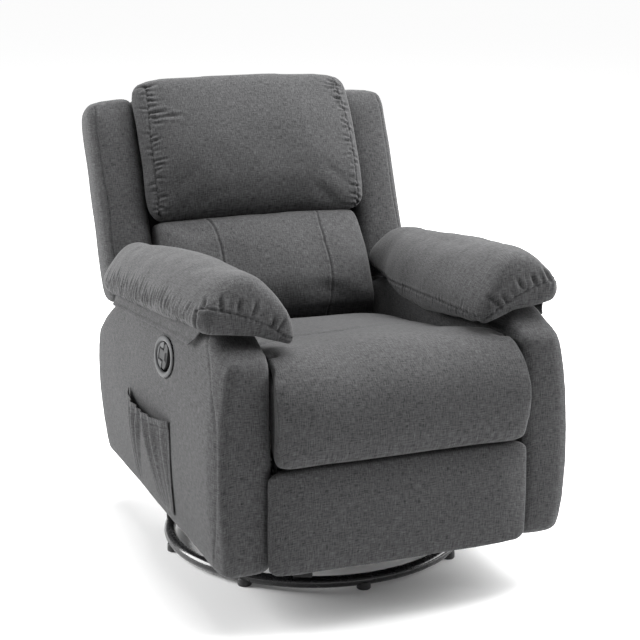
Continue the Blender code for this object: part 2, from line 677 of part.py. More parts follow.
def make_arms():
    """Upholstered arms, the pillows on them and the flaps below the pillows' outer edges."""
    top_y = [spot[0] for spot in ARM_TOP]
    top_z = [spot[1] for spot in ARM_TOP]
    foot_y = [spot[0] for spot in ARM_FOOT]

    for side, label in ((-1, "left"), (1, "right")):
        def place_arm(a, b, c, side=side):
            rise = station(ARM_ROWS, c)
            z = ARM_BOTTOM_Z + (station(top_z, b) - ARM_BOTTOM_Z) * rise
            y = station(foot_y, b) + (station(top_y, b) - station(foot_y, b)) * rise
            if b > 0.99:
                y += 0.020 * math.sin(math.pi * rise)
            if b < 0.01:
                y -= 0.006 * math.sin(math.pi * rise)
            x = ARM_INNER_X + (table(ARM_OUTER, z) - ARM_INNER_X) * spread(a, 0.6)
            return Vector((side * x, y, z))

        arm = soft_part("arm_" + label, (1, 6, 5), place_arm)

        def place_pillow(a, b, c, side=side):
            across = spread(a, 0.8)
            y = station(PILLOW_STATIONS, b)
            x = station(PILLOW_INNER, b)
            x += (station(PILLOW_OUTER, b) - x) * across
            rest = ARM_TOP[1][1] + PILLOW_SLOPE * (y - ARM_TOP[1][0])
            low = rest + CLOTH_GAP - station(PILLOW_DROOP, b) * max(0.0, 1.0 - across / 0.2)
            if across > 0.9:
                low += 0.006
            fall = 0.66 if across > 0.5 else 0.50
            crown = 1.0 - fall * abs(2.0 * across - 1.0) ** 2.2
            z = low + c * station(PILLOW_HEIGHT, b) * crown
            bulge = 0.004 * (1.0 - (2.0 * c - 1.0) ** 2)
            return Vector((side * (x + bulge * (2.0 * across - 1.0)), y, z))

        pillow = soft_part("arm_pillow_" + label, (3, 5, 1), place_pillow)
        yield label, side, arm, pillow


def make_flap(label, side, arm, pillow):
    """Strip of cloth that hangs from below a pillow's outer edge."""
    shell = surface_of(arm)
    cover = surface_of(pillow)
    mesh = bpy.data.meshes.new("arm_flap")
    form = bmesh.new()
    grid = bmesh.ops.create_grid(form, x_segments=12, y_segments=2, size=1.0)["verts"]
    for vertex in grid:
        along = (vertex.co.x + 1) / 2
        down = (1 - vertex.co.y) / 2
        y = FLAP_FRONT_Y + (FLAP_REAR_Y - FLAP_FRONT_Y) * along
        hem = table(ARM_TOP, max(y, ARM_TOP[1][0])) - FLAP_HEIGHT
        skin = shell.ray_cast(Vector((side * 0.6, y, hem)), Vector((-side, 0, 0)))[0]
        x = abs(skin.x) + CLOTH_GAP + 0.002
        roofs = [cover.ray_cast(Vector((side * (x + extra), y, hem)), Vector((0, 0, 1)))[0].z
                 for extra in (-0.002, 0.0, FLAP_THICKNESS)]
        z = hem + (min(roofs) - CLOTH_GAP - hem) * (1 - down)
        if vertex.co.x < -0.99:
            y += 0.018 * down
        vertex.co = Vector((side * x, y, z))
    form.to_mesh(mesh)
    form.free()
    part = add_part("arm_flap_" + label, mesh, "fabric_grey")
    return thicken(part, FLAP_THICKNESS, side)


def thicken(part, thickness, side):
    """Give a cloth sheet its thickness on the side away from the arm."""
    form = bmesh.new()
    form.from_mesh(part.data)
    form.normal_update()
    if sum(face.normal.x * side for face in form.faces) < 0:
        bmesh.ops.reverse_faces(form, faces=form.faces)
    form.to_mesh(part.data)
    form.free()
    step = part.modifiers.new("Solidify", "SOLIDIFY")
    step.thickness = thickness
    step.offset = 1.0
    step.use_even_offset = False
    return part


def make_pocket(arm):
    """Gathered cloth pocket sewn to the left arm on three sides, open at the top."""
    shell = surface_of(arm)
    mesh = bpy.data.meshes.new("side_pocket")
    form = bmesh.new()
    grid = bmesh.ops.create_grid(form, x_segments=16, y_segments=5, size=1.0)["verts"]
    for vertex in grid:
        along = vertex.co.x
        rise = (vertex.co.y + 1) / 2
        y = (POCKET_FRONT_Y + POCKET_REAR_Y) / 2 + along * (POCKET_REAR_Y - POCKET_FRONT_Y) / 2
        middle = 1.0 - along ** 2
        z = POCKET_BOTTOM_Z + (POCKET_TOP_Z - POCKET_SAG * middle - POCKET_BOTTOM_Z) * rise
        z -= 0.012 * (1.0 - rise) * (0.5 + 0.5 * along)
        skin = min(shell.ray_cast(Vector((-0.6, y, z + step)), Vector((1, 0, 0)))[0].x
                   for step in (-0.010, 0.0, 0.014))
        open_share = math.sin(math.pi / 2 * rise) * (1.0 - abs(along) ** 2.5)
        fold = POCKET_FOLD * math.cos(math.pi * POCKET_FOLD_COUNT * along) * open_share
        vertex.co = Vector((skin - POCKET_GAP - POCKET_MOUTH * open_share - fold, y, z))
    form.to_mesh(mesh)
    form.free()
    part = add_part("side_pocket", mesh, "fabric_grey")
    return thicken(part, POCKET_CLOTH, -1)


def make_handle(arm):
    """Oval cup let into the left arm, and the lever that is pulled outwards in it."""
    shell = surface_of(arm)
    tilt_in = math.sin(HANDLE_TILT)
    tilt_up = math.cos(HANDLE_TILT)
    spot = shell.ray_cast(Vector((-0.6, HANDLE_Y, HANDLE_Z)), Vector((1, 0, 0)))[0]
    outward = Vector((-tilt_up, 0.0, tilt_in))
    forward = Vector((0.0, -1.0, 0.0))
    upward = Vector((tilt_in, 0.0, tilt_up))
    frame = Matrix((forward, upward, outward)).transposed().to_4x4()
    frame.translation = spot + outward * 0.0015

    def oval(length, height, low, high, sides=28):
        loop = [(length / 2 * math.cos(math.tau * i / sides), height / 2 * math.sin(math.tau * i / sides))
                for i in range(sides)]
        return plate_mesh("oval", [loop], high - low,
                          frame @ Matrix.Translation((0, 0, (low + high) / 2)))

    body_length = CUP_LENGTH - 2 * CUP_FLANGE
    body_height = CUP_HEIGHT - 2 * CUP_FLANGE
    cup = add_part("handle_cup", oval(CUP_LENGTH, CUP_HEIGHT, 0.0, CUP_FLANGE_THICKNESS), "plastic_grey")
    boolean(cup, oval(body_length, body_height, -CUP_DEPTH, CUP_FLANGE_THICKNESS / 2), "UNION")
    boolean(cup, oval(body_length - 2 * CUP_WALL, body_height - 2 * CUP_WALL,
                      CUP_WALL - CUP_DEPTH, 2 * CUP_FLANGE_THICKNESS), "DIFFERENCE")
    pin_half = body_height / 2 * math.sqrt(1 - (2 * LEVER_HINGE / body_length) ** 2) - 0.0012
    pin_depth = -LEVER_THICKNESS / 2
    low = frame @ Vector((LEVER_HINGE, -pin_half, pin_depth))
    high = frame @ Vector((LEVER_HINGE, pin_half, pin_depth))
    reach = (high - low).normalized() * 0.0005
    boolean(cup, rod_mesh("hole", low - reach, high + reach, LEVER_PIN_RADIUS + PIN_GAP), "DIFFERENCE")

    room = 2 * FIT_GAP
    boolean(arm, oval(body_length + room, body_height + room, -CUP_DEPTH - FIT_GAP, 0.05), "DIFFERENCE")
    boolean(arm, oval(CUP_LENGTH + room, CUP_HEIGHT + room, -FIT_GAP, 0.05), "DIFFERENCE")

    inner = body_length / 2 - CUP_WALL - 0.003
    tall = body_height / 2 - CUP_WALL - 0.003
    outline = []
    for k in range(13):
        angle = math.pi / 2 + math.pi * k / 12
        outline.append((inner * math.cos(angle) * 0.93, tall * math.sin(angle)))
    outline += [(0.010, -tall * 0.96), (0.017, -tall * 0.55), (0.019, 0.0), (0.017, tall * 0.55),
                (0.010, tall * 0.96)]
    seat = frame @ Matrix.Translation((0, 0, -LEVER_THICKNESS / 2))
    lever = add_part("handle_lever", plate_mesh("handle_lever", [outline], LEVER_THICKNESS, seat),
                     "plastic_grey")
    boolean(lever, rod_mesh("pin", low, high, LEVER_PIN_RADIUS), "UNION")
    return (low + high) / 2


def pin_mesh(name, side, pivot, start, end, radius=PIN_RADIUS):
    """A pivot pin through the layers between two distances from the middle plane."""
    return rod_mesh(name, (side * start, pivot[0], pivot[1]), (side * end, pivot[0], pivot[1]), radius)


def make_links():
    """Lift, control, knee, extension and steering links of the footrest."""
    control_pivot = LIFT_PIVOT + CONTROL_OFFSET
    control_knee = KNEE_PIVOT + CONTROL_OFFSET
    pin_hole = PIN_RADIUS + PIN_GAP
    half = LINK_THICKNESS / 2
    thin_half = THIN_LINK_THICKNESS / 2
    outer_lift = LIFT_X + half

    def flat(name, loops, x, thickness, side):
        return plate_mesh(name, loops, thickness, Matrix.Translation((side * x, 0, 0)) @ ALONG_X)

    lift = [bar(LIFT_PIVOT, KNEE_PIVOT, 0.013, LINK_HALF_WIDTH), circle(KNEE_PIVOT, pin_hole)]
    part = add_part("lift_links", flat("lift_links", lift, LIFT_X, LINK_THICKNESS, -1), "steel_zinc")
    drive = rod_mesh("drive", (-outer_lift + 0.001, *LIFT_PIVOT), (outer_lift - 0.001, *LIFT_PIVOT),
                     DRIVE_TUBE_RADIUS)
    boolean(part, drive, "UNION")
    boolean(part, flat("lift_right", lift, LIFT_X, LINK_THICKNESS, 1), "UNION")

    extension = [bar(KNEE_PIVOT, FOOT_PIVOT, LINK_HALF_WIDTH), circle(KNEE_PIVOT, pin_hole)]
    part = add_part("extension_links",
                    flat("extension_links", extension, EXTENSION_X, LINK_THICKNESS, -1), "steel_zinc")
    stay = (KNEE_PIVOT + FOOT_PIVOT) / 2
    reach = EXTENSION_X + half - 0.001
    boolean(part, rod_mesh("stay", (-reach, *stay), (reach, *stay), STAY_TUBE_RADIUS), "UNION")
    boolean(part, flat("extension_right", extension, EXTENSION_X, LINK_THICKNESS, 1), "UNION")
    for side in (-1, 1):
        pin = pin_mesh("pin", side, FOOT_PIVOT, EXTENSION_X, BRACKET_X + thin_half)
        boolean(part, pin, "UNION")

    for side, label in ((-1, "left"), (1, "right")):
        loops = [bar(control_pivot, control_knee, LINK_HALF_WIDTH), circle(control_knee, pin_hole)]
        part = add_part("control_link_" + label,
                        flat("control_link", loops, LIFT_X, LINK_THICKNESS, side), "steel_zinc")
        pin = pin_mesh("pin", side, control_pivot, SIDE_PLATE_X - SIDE_PLATE_THICKNESS / 2, LIFT_X)
        boolean(part, pin, "UNION")

        centre = (KNEE_PIVOT + control_knee + STEERING_KNEE) / 3
        corners = [centre + (spot - centre) * 1.95 for spot in (KNEE_PIVOT, control_knee, STEERING_KNEE)]
        part = add_part("knee_plate_" + label,
                        flat("knee_plate", [rounded(corners, 0.018)], KNEE_X, THIN_LINK_THICKNESS, side),
                        "steel_zinc")
        boolean(part, pin_mesh("pin", side, KNEE_PIVOT, LIFT_X - half, EXTENSION_X + half), "UNION")
        boolean(part, pin_mesh("pin", side, control_knee, LIFT_X - half, KNEE_X), "UNION")
        boolean(part, pin_mesh("pin", side, STEERING_KNEE, KNEE_X, STEERING_X + half), "UNION")

        loops = [bar(STEERING_KNEE, STEERING_FOOT, LINK_HALF_WIDTH, STEERING_EYE_RADIUS + 0.005),
                 circle(STEERING_KNEE, pin_hole), circle(STEERING_FOOT, STEERING_EYE_RADIUS)]
        add_part("steering_link_" + label,
                 flat("steering_link", loops, STEERING_X, LINK_THICKNESS, side), "steel_zinc")

        back = BOARD_BACK_Y + FIT_GAP
        outline = rounded([(back, 0.170), (back, 0.318), (STEERING_FOOT[0] + 0.010, 0.322),
                           (STEERING_FOOT[0] + 0.012, 0.300), (FOOT_PIVOT[0] + 0.008, 0.285),
                           (back + 0.014, 0.240), (back + 0.014, 0.170)], 0.006)
        part = add_part("footrest_bracket_" + label,
                        flat("bracket", [outline, circle(FOOT_PIVOT, pin_hole)], BRACKET_X,
                             THIN_LINK_THICKNESS, side), "steel_zinc")
        boolean(part, pin_mesh("pin", side, STEERING_FOOT, BRACKET_X, STEERING_X + half, 0.0035), "UNION")
        inner = BRACKET_X - 0.022
        outer = BRACKET_X + thin_half
        foot = block_mesh("foot", (min(side * inner, side * outer), back, 0.175),
                          (max(side * inner, side * outer), back + 0.003, 0.235))
        boolean(part, foot, "UNION")


def make_footrest():
    """Footrest board and its padded front."""
    front = BOARD_BACK_Y - BOARD_THICKNESS
    low = (-BOARD_HALF_WIDTH, front, PAD_BOTTOM_Z + 0.010)
    high = (BOARD_HALF_WIDTH, BOARD_BACK_Y, PAD_TOP_Z - 0.012)
    add_part("footrest_board", block_mesh("footrest_board", low, high), "plywood")

    def place(a, b, c):
        across = 2.0 * spread(a, 0.7) - 1.0
        rise = 2.0 * spread(c, 0.4) - 1.0
        crown = (1.0 - across ** 4) * (1.0 - rise ** 4)
        skin = PAD_FRONT_Y + 0.010 * (1.0 - crown)
        back = front - FIT_GAP
        y = back + (skin - back) * b
        z = (PAD_BOTTOM_Z + PAD_TOP_Z) / 2 + rise * (PAD_TOP_Z - PAD_BOTTOM_Z) / 2
        return Vector(((PAD_HALF_WIDTH + PAD_FLARE * b) * across, y, z))

    soft_part("footrest_pad", (3, 1, 3), place)


def make_back():
    """Back brackets, wooden frame, rear panel, wings, lumbar cushion and headrest."""
    half_depth = UPRIGHT_DEPTH / 2
    for side, label in ((-1, "left"), (1, "right")):
        corners = []
        for n, s in ((-0.016, -0.016), (0.016, -0.016), (0.018, 0.300), (-0.018, 0.300)):
            spot = back_point(0.0, n, s)
            corners.append((spot.y, spot.z))
        loops = [rounded(corners, 0.012)]
        x = UPRIGHT_X - FIT_GAP - SIDE_PLATE_THICKNESS / 2
        spot = Matrix.Translation((side * x, 0, 0)) @ ALONG_X
        part = add_part("back_bracket_" + label,
                        plate_mesh("back_bracket", loops, SIDE_PLATE_THICKNESS, spot), "steel_zinc")
        pin = pin_mesh("pin", side, BACK_PIVOT, SIDE_PLATE_X - SIDE_PLATE_THICKNESS / 2, x, BACK_PIN_RADIUS)
        boolean(part, pin, "UNION")

        edges = sorted((side * UPRIGHT_X, side * (UPRIGHT_X + UPRIGHT_WIDTH)))
        mesh = block_mesh("back_upright", (edges[0], -half_depth, UPRIGHT_FOOT),
                          (edges[1], half_depth, UPRIGHT_TOP), back_point)
        add_part("back_upright_" + label, mesh, "plywood")

        def place_wing(a, b, c, side=side):
            rise = spread(c, 0.75)
            s = WING_FOOT + (WING_TOP - WING_FOOT) * rise
            width = spread(a, 0.7)
            depth = spread(b, 0.7)
            x = WING_INNER_X + (WING_OUTER_X - WING_INNER_X) * width
            n = WING_FRONT + (WING_REAR - WING_FRONT) * depth
            n += 0.012 * rise ** 4 * (1.0 - depth)
            s -= 0.012 * width ** 2 * rise ** 3
            return back_point(side * x, n, s)

        soft_part("wing_" + label, (2, 1, 4), place_wing)

    reach = UPRIGHT_X - SIDE_PLATE_THICKNESS - 2 * FIT_GAP
    low_rail = block_mesh("back_rail", (-reach, -half_depth, UPRIGHT_FOOT + 0.012),
                          (reach, half_depth, UPRIGHT_FOOT + 0.012 + BACK_RAIL_HEIGHT), back_point)
    add_part("back_rail_bottom", low_rail, "plywood")
    reach = UPRIGHT_X - FIT_GAP
    top_rail = block_mesh("back_rail", (-reach, -half_depth, UPRIGHT_TOP - BACK_RAIL_HEIGHT),
                          (reach, half_depth, UPRIGHT_TOP), back_point)
    add_part("back_rail_top", top_rail, "plywood")

    panel_front = half_depth + FIT_GAP
    mesh = block_mesh("back_panel", (-PANEL_HALF_WIDTH, panel_front, PANEL_FOOT),
                      (PANEL_HALF_WIDTH, panel_front + PANEL_THICKNESS, PANEL_TOP), back_point)
    bevel(add_part("back_panel", mesh, "fabric_grey"), 0.010, 2)

    rear = -half_depth - FIT_GAP

    def place_head(a, b, c):
        across = 2.0 * spread(a, 0.75) - 1.0
        rise = spread(c, 0.75)
        s = HEAD_FOOT + (HEAD_TOP - HEAD_FOOT) * rise
        s += 0.006 * (1.0 - across ** 2) * rise ** 4
        depth = 0.092 - 0.030 * rise ** 2.5 + 0.016 * math.sin(math.pi * rise)
        depth -= 0.026 * abs(across) ** 4
        half = HEAD_HALF_WIDTH + HEAD_FLARE * b ** 2.5
        return back_point(half * across, rear - depth * b, s)

    soft_part("headrest_cushion", (4, 1, 4), place_head)

    def place_lumbar(a, b, c):
        across = station(LUMBAR_COLUMNS, a)
        seam = abs(abs(across) - LUMBAR_SEAM) < 0.01
        rise = spread(c, 0.85)
        foot = 0.150 + 0.040 * b
        s = foot + (HEAD_FOOT - 0.004 - foot) * rise
        depth = 0.150 - 0.012 * rise - 0.060 * rise ** 3
        depth -= 0.030 * abs(across) ** 6
        if seam:
            depth -= 0.020 * math.sin(math.pi * min(1.0, 0.15 + 0.85 * rise))
        half = LUMBAR_HALF_WIDTH - LUMBAR_TAPER * b
        return back_point(half * across, rear - depth * b, s)

    soft_part("lumbar_cushion", (7, 1, 3), place_lumbar)


def add_axis(name, parent, point):
    """An empty on a joint's axis, carried by the empty of the joint before it."""
    axis = bpy.data.objects.new(name, None)
    axis.empty_display_size = 0.05
    axis["point"] = list(point)
    axis.parent = parent
    axis.location = Vector(point) - (Vector(parent["point"]) if parent else Vector((0.0, 0.0, 0.0)))
    PARTS.objects.link(axis)
    return axis


def hang(axis, *names):
    """Let an axis carry the parts, and their Boolean tools, whose names start as given."""
    for collection in (PARTS, CUTTERS):
        for part in collection.objects:
            if part.type == "MESH" and part.name.startswith(names):
                part.parent = axis
                part.matrix_parent_inverse = Matrix.Translation(-Vector(axis["point"]))


def hang_on_axes(lever_hinge):
    """Carry every part on an empty that lies on its joint's axis."""
    chair = add_axis("Chair", None, (0.0, 0.0, 0.0))
    chair.location.y = -ORIGIN_Y
    swivel = add_axis("Swivel_Axis", chair, (0.0, SWIVEL_Y, ROCKER_PLATE_Z))
    rock = add_axis("Rock_Axis", swivel, (0.0, SWIVEL_Y, ROCK_AXIS_Z))
    recline = add_axis("Recline_Axis", rock, (0.0, *BACK_PIVOT))
    lift = add_axis("Lift_Axis", rock, (0.0, *LIFT_PIVOT))
    control = add_axis("Control_Axis", rock, (0.0, *(LIFT_PIVOT + CONTROL_OFFSET)))
    knee = add_axis("Knee_Axis", lift, (0.0, *KNEE_PIVOT))
    extension = add_axis("Extension_Axis", knee, (0.0, *KNEE_PIVOT))
    steering = add_axis("Steering_Axis", knee, (0.0, *STEERING_KNEE))
    footrest = add_axis("Footrest_Axis", extension, (0.0, *FOOT_PIVOT))
    lever = add_axis("Lever_Axis", rock, lever_hinge)
    hang(chair, "base_ring", "cross_bars", "lower_race", "ball_ring", "king_bolt")
    hang(swivel, "rocker_plate", "rocker_rail", "rocker_spring")
    hang(rock, "cross_tube", "side_plate", "rocker_cam", "seat_", "arm_", "handle_cup", "side_pocket")
    hang(recline, "back_", "wing_", "lumbar_", "headrest_")
    hang(lift, "lift_links")
    hang(control, "control_link")
    hang(knee, "knee_plate")
    hang(extension, "extension_links")
    hang(steering, "steering_link")
    hang(footrest, "footrest_")
    hang(lever, "handle_lever")


make_base()
make_rocker_base()
make_chassis()
make_seat_cushion()
for arm_label, arm_side, arm_part, pillow_part in make_arms():
    make_flap(arm_label, arm_side, arm_part, pillow_part)
    if arm_side < 0:
        make_pocket(arm_part)
        lever_hinge_point = make_handle(arm_part)
make_links()
make_footrest()
make_back()
hang_on_axes(lever_hinge_point)
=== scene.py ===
# %% [markdown]
# # A swivel rocker recliner
# A padded armchair on a round steel base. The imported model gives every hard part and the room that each
# soft part takes up; this lesson turns it into cloth, foam, steel and plastic that look like the photograph.

# %% Load the frame
import json
import math
import random

import bmesh
import bpy
import numpy as np
from mathutils import Matrix, Vector, noise

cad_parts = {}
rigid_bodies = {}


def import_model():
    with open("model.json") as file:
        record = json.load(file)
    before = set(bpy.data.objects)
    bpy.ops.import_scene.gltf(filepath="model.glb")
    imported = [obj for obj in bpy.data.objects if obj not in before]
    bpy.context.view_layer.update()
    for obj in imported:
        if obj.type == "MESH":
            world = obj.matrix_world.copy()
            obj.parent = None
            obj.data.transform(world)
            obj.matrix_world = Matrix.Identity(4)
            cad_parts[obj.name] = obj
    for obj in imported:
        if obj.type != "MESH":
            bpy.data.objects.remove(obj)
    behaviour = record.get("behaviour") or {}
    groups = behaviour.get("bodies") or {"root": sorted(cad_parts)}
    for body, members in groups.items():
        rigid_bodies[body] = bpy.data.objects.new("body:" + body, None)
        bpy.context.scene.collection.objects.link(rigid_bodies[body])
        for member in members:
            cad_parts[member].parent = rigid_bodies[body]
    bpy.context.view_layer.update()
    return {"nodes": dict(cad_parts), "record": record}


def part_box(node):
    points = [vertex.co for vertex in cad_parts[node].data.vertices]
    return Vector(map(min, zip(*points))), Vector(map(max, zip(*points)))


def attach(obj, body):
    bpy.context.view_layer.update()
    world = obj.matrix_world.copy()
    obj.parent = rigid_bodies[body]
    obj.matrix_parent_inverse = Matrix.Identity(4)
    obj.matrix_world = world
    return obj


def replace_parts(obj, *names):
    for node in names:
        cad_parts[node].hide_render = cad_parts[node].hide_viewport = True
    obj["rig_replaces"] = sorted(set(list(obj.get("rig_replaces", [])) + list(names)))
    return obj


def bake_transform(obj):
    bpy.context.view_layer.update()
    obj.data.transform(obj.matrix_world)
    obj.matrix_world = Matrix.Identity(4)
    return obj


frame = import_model()
nodes = frame["nodes"]
scene = bpy.context.scene

# %% [markdown]
# The camera stands where the photographer stood: a little to the left, looking slightly down. The distance
# and the lens were solved from the corners of the chair in the photograph.

# %% Camera
TARGET = Vector((0.014, -0.0327, 0.495))
AZIMUTH, ELEVATION, DISTANCE = math.radians(-21.6), math.radians(14.3), 3.55
SENSOR_WIDTH, LENS = 36.0, 91.1
camera = bpy.data.objects.new("camera", bpy.data.cameras.new("camera"))
scene.collection.objects.link(camera)
reach = Vector((math.sin(AZIMUTH) * math.cos(ELEVATION), -math.cos(AZIMUTH) * math.cos(ELEVATION),
                math.sin(ELEVATION)))
camera.location = TARGET + DISTANCE * reach
camera.rotation_euler = (-reach).to_track_quat("-Z", "Y").to_euler()
camera.data.sensor_width, camera.data.lens = SENSOR_WIDTH, LENS
scene.camera = camera
print("camera at", [round(v, 3) for v in camera.location])

# %% [markdown]
# The chair was photographed in a white cove. A very large pale floor fills the picture, and its far part
# glows a little, as a cove does, so that no horizon shows. A sheet bent up behind the chair would do that
# too, but it would stand in the way of a camera that goes round.

# %% Floor
FLOOR_HALF = 45.0
WHITE = (1.0, 1.0, 1.0, 1.0)
GLOW = (("From Min", 1.0), ("From Max", 5.0), ("To Min", 0.06), ("To Max", 0.80))


def piece_from(form, name):
    """A new object whose mesh is what a bmesh holds."""
    made = bpy.data.objects.new(name, bpy.data.meshes.new(name))
    form.to_mesh(made.data)
    form.free()
    scene.collection.objects.link(made)
    return made


form = bmesh.new()
bmesh.ops.create_grid(form, x_segments=1, y_segments=1, size=FLOOR_HALF)
floor = piece_from(form, "floor")
pale = bpy.data.materials.new("pale_floor")
pale.use_nodes = True
tree = pale.node_tree
shader = tree.nodes["Principled BSDF"]
shader.inputs["Base Color"].default_value = (0.93, 0.93, 0.93, 1.0)
shader.inputs["Roughness"].default_value = 0.7
shader.inputs["Emission Color"].default_value = WHITE
spot_on = tree.nodes.new("ShaderNodeTexCoord")
far_out = tree.nodes.new("ShaderNodeVectorMath")
far_out.operation = "LENGTH"
glow = tree.nodes.new("ShaderNodeMapRange")
for label, value in GLOW:
    glow.inputs[label].default_value = value
tree.links.new(spot_on.outputs["Object"], far_out.inputs[0])
tree.links.new(far_out.outputs["Value"], glow.inputs["Value"])
tree.links.new(glow.outputs["Result"], shader.inputs["Emission Strength"])
floor.data.materials.append(pale)
print("floor:", 2 * FLOOR_HALF, "m wide")

# %% [markdown]
# The sky looks white to the camera but lights the chair only weakly, so that three broad soft boxes can
# shape it: its tops are lightest and its front is darkest. A strong sky alone would flatten the cloth.

# %% Sky and soft boxes
SKY_STRENGTH = 0.18


def lamp(name, spot, aim, size, power):
    """A square soft box that looks at a point."""
    light = bpy.data.lights.new(name, "AREA")
    light.size, light.energy = size, power
    box = bpy.data.objects.new(name, light)
    scene.collection.objects.link(box)
    box.location = spot
    box.rotation_euler = (Vector(aim) - Vector(spot)).to_track_quat("-Z", "Y").to_euler()


sky = bpy.data.worlds.new("white_cove")
scene.world = sky
sky.use_nodes = True
tree = sky.node_tree
weak = tree.nodes["Background"]
weak.inputs["Color"].default_value = WHITE
weak.inputs["Strength"].default_value = SKY_STRENGTH
bright = tree.nodes.new("ShaderNodeBackground")
bright.inputs["Color"].default_value = WHITE
choice = tree.nodes.new("ShaderNodeMixShader")
seen = tree.nodes.new("ShaderNodeLightPath")
tree.links.new(seen.outputs["Is Camera Ray"], choice.inputs["Fac"])
tree.links.new(weak.outputs[0], choice.inputs[1])
tree.links.new(bright.outputs[0], choice.inputs[2])
tree.links.new(choice.outputs[0], tree.nodes["World Output"].inputs["Surface"])
lamp("left_box", (-3.5, 2.0, 2.0), aim=(0.0, 0.0, 0.5), size=2.4, power=285.0)
lamp("top_box", (0.9, 0.3, 3.6), aim=(0.0, 0.0, 0.5), size=3.4, power=355.0)
lamp("right_box", (3.9, -0.8, 2.8), aim=(0.0, 0.0, 0.6), size=3.4, power=300.0)
scene.view_settings.view_transform = "Standard"
print("stage: white sky and three soft boxes")

# %% [markdown]
# The cover is a dark grey heather: light and dark fibres spun into one yarn and woven like linen. The threads
# are noises stretched both ways: across and up the chair on fronts and tops, along and up it on the sides. An
# attribute says which way the cloth faces. It is a node group, because cushions, flaps and pocket share it.

# %% Node helpers
def add(tree, kind, **settings):
    """A node with its settings and socket values."""
    made = tree.nodes.new(kind)
    for key, value in settings.items():
        if hasattr(made, key):
            setattr(made, key, value)
        else:
            made.inputs[key.replace("_", " ")].default_value = value
    return made


def sum_of(tree, first, second, factor):
    """first + second x factor, as a node output."""
    step = tree.nodes.new("ShaderNodeMath")
    step.operation = "MULTIPLY_ADD"
    tree.links.new(second, step.inputs[0])
    step.inputs[1].default_value = factor
    if first is None:
        step.inputs[2].default_value = 0.0
    else:
        tree.links.new(first, step.inputs[2])
    return step.outputs[0]


def new_group(name, inputs, outputs):
    """An empty shader node group with named sockets."""
    tree = bpy.data.node_groups.new(name, "ShaderNodeTree")
    for label, kind, value in inputs:
        socket = tree.interface.new_socket(label, in_out="INPUT", socket_type=kind)
        socket.default_value = value
    for label, kind in outputs:
        tree.interface.new_socket(label, in_out="OUTPUT", socket_type=kind)
    return tree, tree.nodes.new("NodeGroupInput"), tree.nodes.new("NodeGroupOutput")


# %% Threads of the weave
# each row: noise cells per metre across a thread, cells per metre along it, and its share in the tone
THREADS = ((950.0, 150.0, 0.28), (500.0, 62.0, 0.42))
weave, given, result = new_group(
    "heather_weave",
    [("Dark", "NodeSocketColor", (0.03, 0.03, 0.032, 1)), ("Light", "NodeSocketColor", (0.2, 0.2, 0.21, 1)),
     ("Seam", "NodeSocketFloat", 0.0), ("Nap_and_shade", "NodeSocketFloat", 0.0),
     ("Outward", "NodeSocketVector", (0.0, 0.0, 1.0))],
    [("Colour", "NodeSocketColor"), ("Roughness", "NodeSocketFloat"), ("Height", "NodeSocketFloat")])
place_on = weave.nodes.new("ShaderNodeTexCoord")
spot = weave.nodes.new("ShaderNodeSeparateXYZ")
weave.links.new(place_on.outputs["Object"], spot.inputs[0])
climb = add(weave, "ShaderNodeMath", operation="ADD")
weave.links.new(spot.outputs["Y"], climb.inputs[0])
weave.links.new(spot.outputs["Z"], climb.inputs[1])
sheets = []
for first, second in ((spot.outputs["X"], climb.outputs[0]), (spot.outputs["Y"], spot.outputs["Z"])):
    flat_spot = weave.nodes.new("ShaderNodeCombineXYZ")
    weave.links.new(first, flat_spot.inputs["X"])
    weave.links.new(second, flat_spot.inputs["Y"])
    threads = None
    for across, lengthwise, share in THREADS:
        shift = (0.37 * share, 0.71 * share, 0.0)
        for scale in ((lengthwise, across, 1.0), (across, lengthwise, 1.0)):
            stretch = add(weave, "ShaderNodeMapping", Scale=scale, Location=shift)
            weave.links.new(flat_spot.outputs["Vector"], stretch.inputs["Vector"])
            fibre = add(weave, "ShaderNodeTexNoise", noise_dimensions="2D", Scale=1.0, Detail=0.0)
            weave.links.new(stretch.outputs["Vector"], fibre.inputs["Vector"])
            # a Math node counts an empty socket as 0.5, so this centres the noise on zero
            swing = add(weave, "ShaderNodeMath", operation="SUBTRACT")
            weave.links.new(fibre.outputs["Fac"], swing.inputs[0])
            threads = sum_of(weave, threads, swing.outputs[0], share)
    sheets.append(threads)
split = weave.nodes.new("ShaderNodeSeparateXYZ")
weave.links.new(given.outputs["Outward"], split.inputs[0])
sideways = add(weave, "ShaderNodeMath", operation="ABSOLUTE")
weave.links.new(split.outputs["X"], sideways.inputs[0])
turned = add(weave, "ShaderNodeMapRange", interpolation_type="SMOOTHSTEP", From_Min=0.50, From_Max=0.85)
weave.links.new(sideways.outputs[0], turned.inputs["Value"])
# a Mix node has sockets for each kind of value: numbers use inputs 2 and 3 and output 0,
# colours use inputs 6 and 7 and output 2
both = weave.nodes.new("ShaderNodeMix")
weave.links.new(turned.outputs["Result"], both.inputs["Factor"])
weave.links.new(sheets[0], both.inputs[2])
weave.links.new(sheets[1], both.inputs[3])
threads = both.outputs[0]
print("threads:", len(weave.nodes), "nodes")
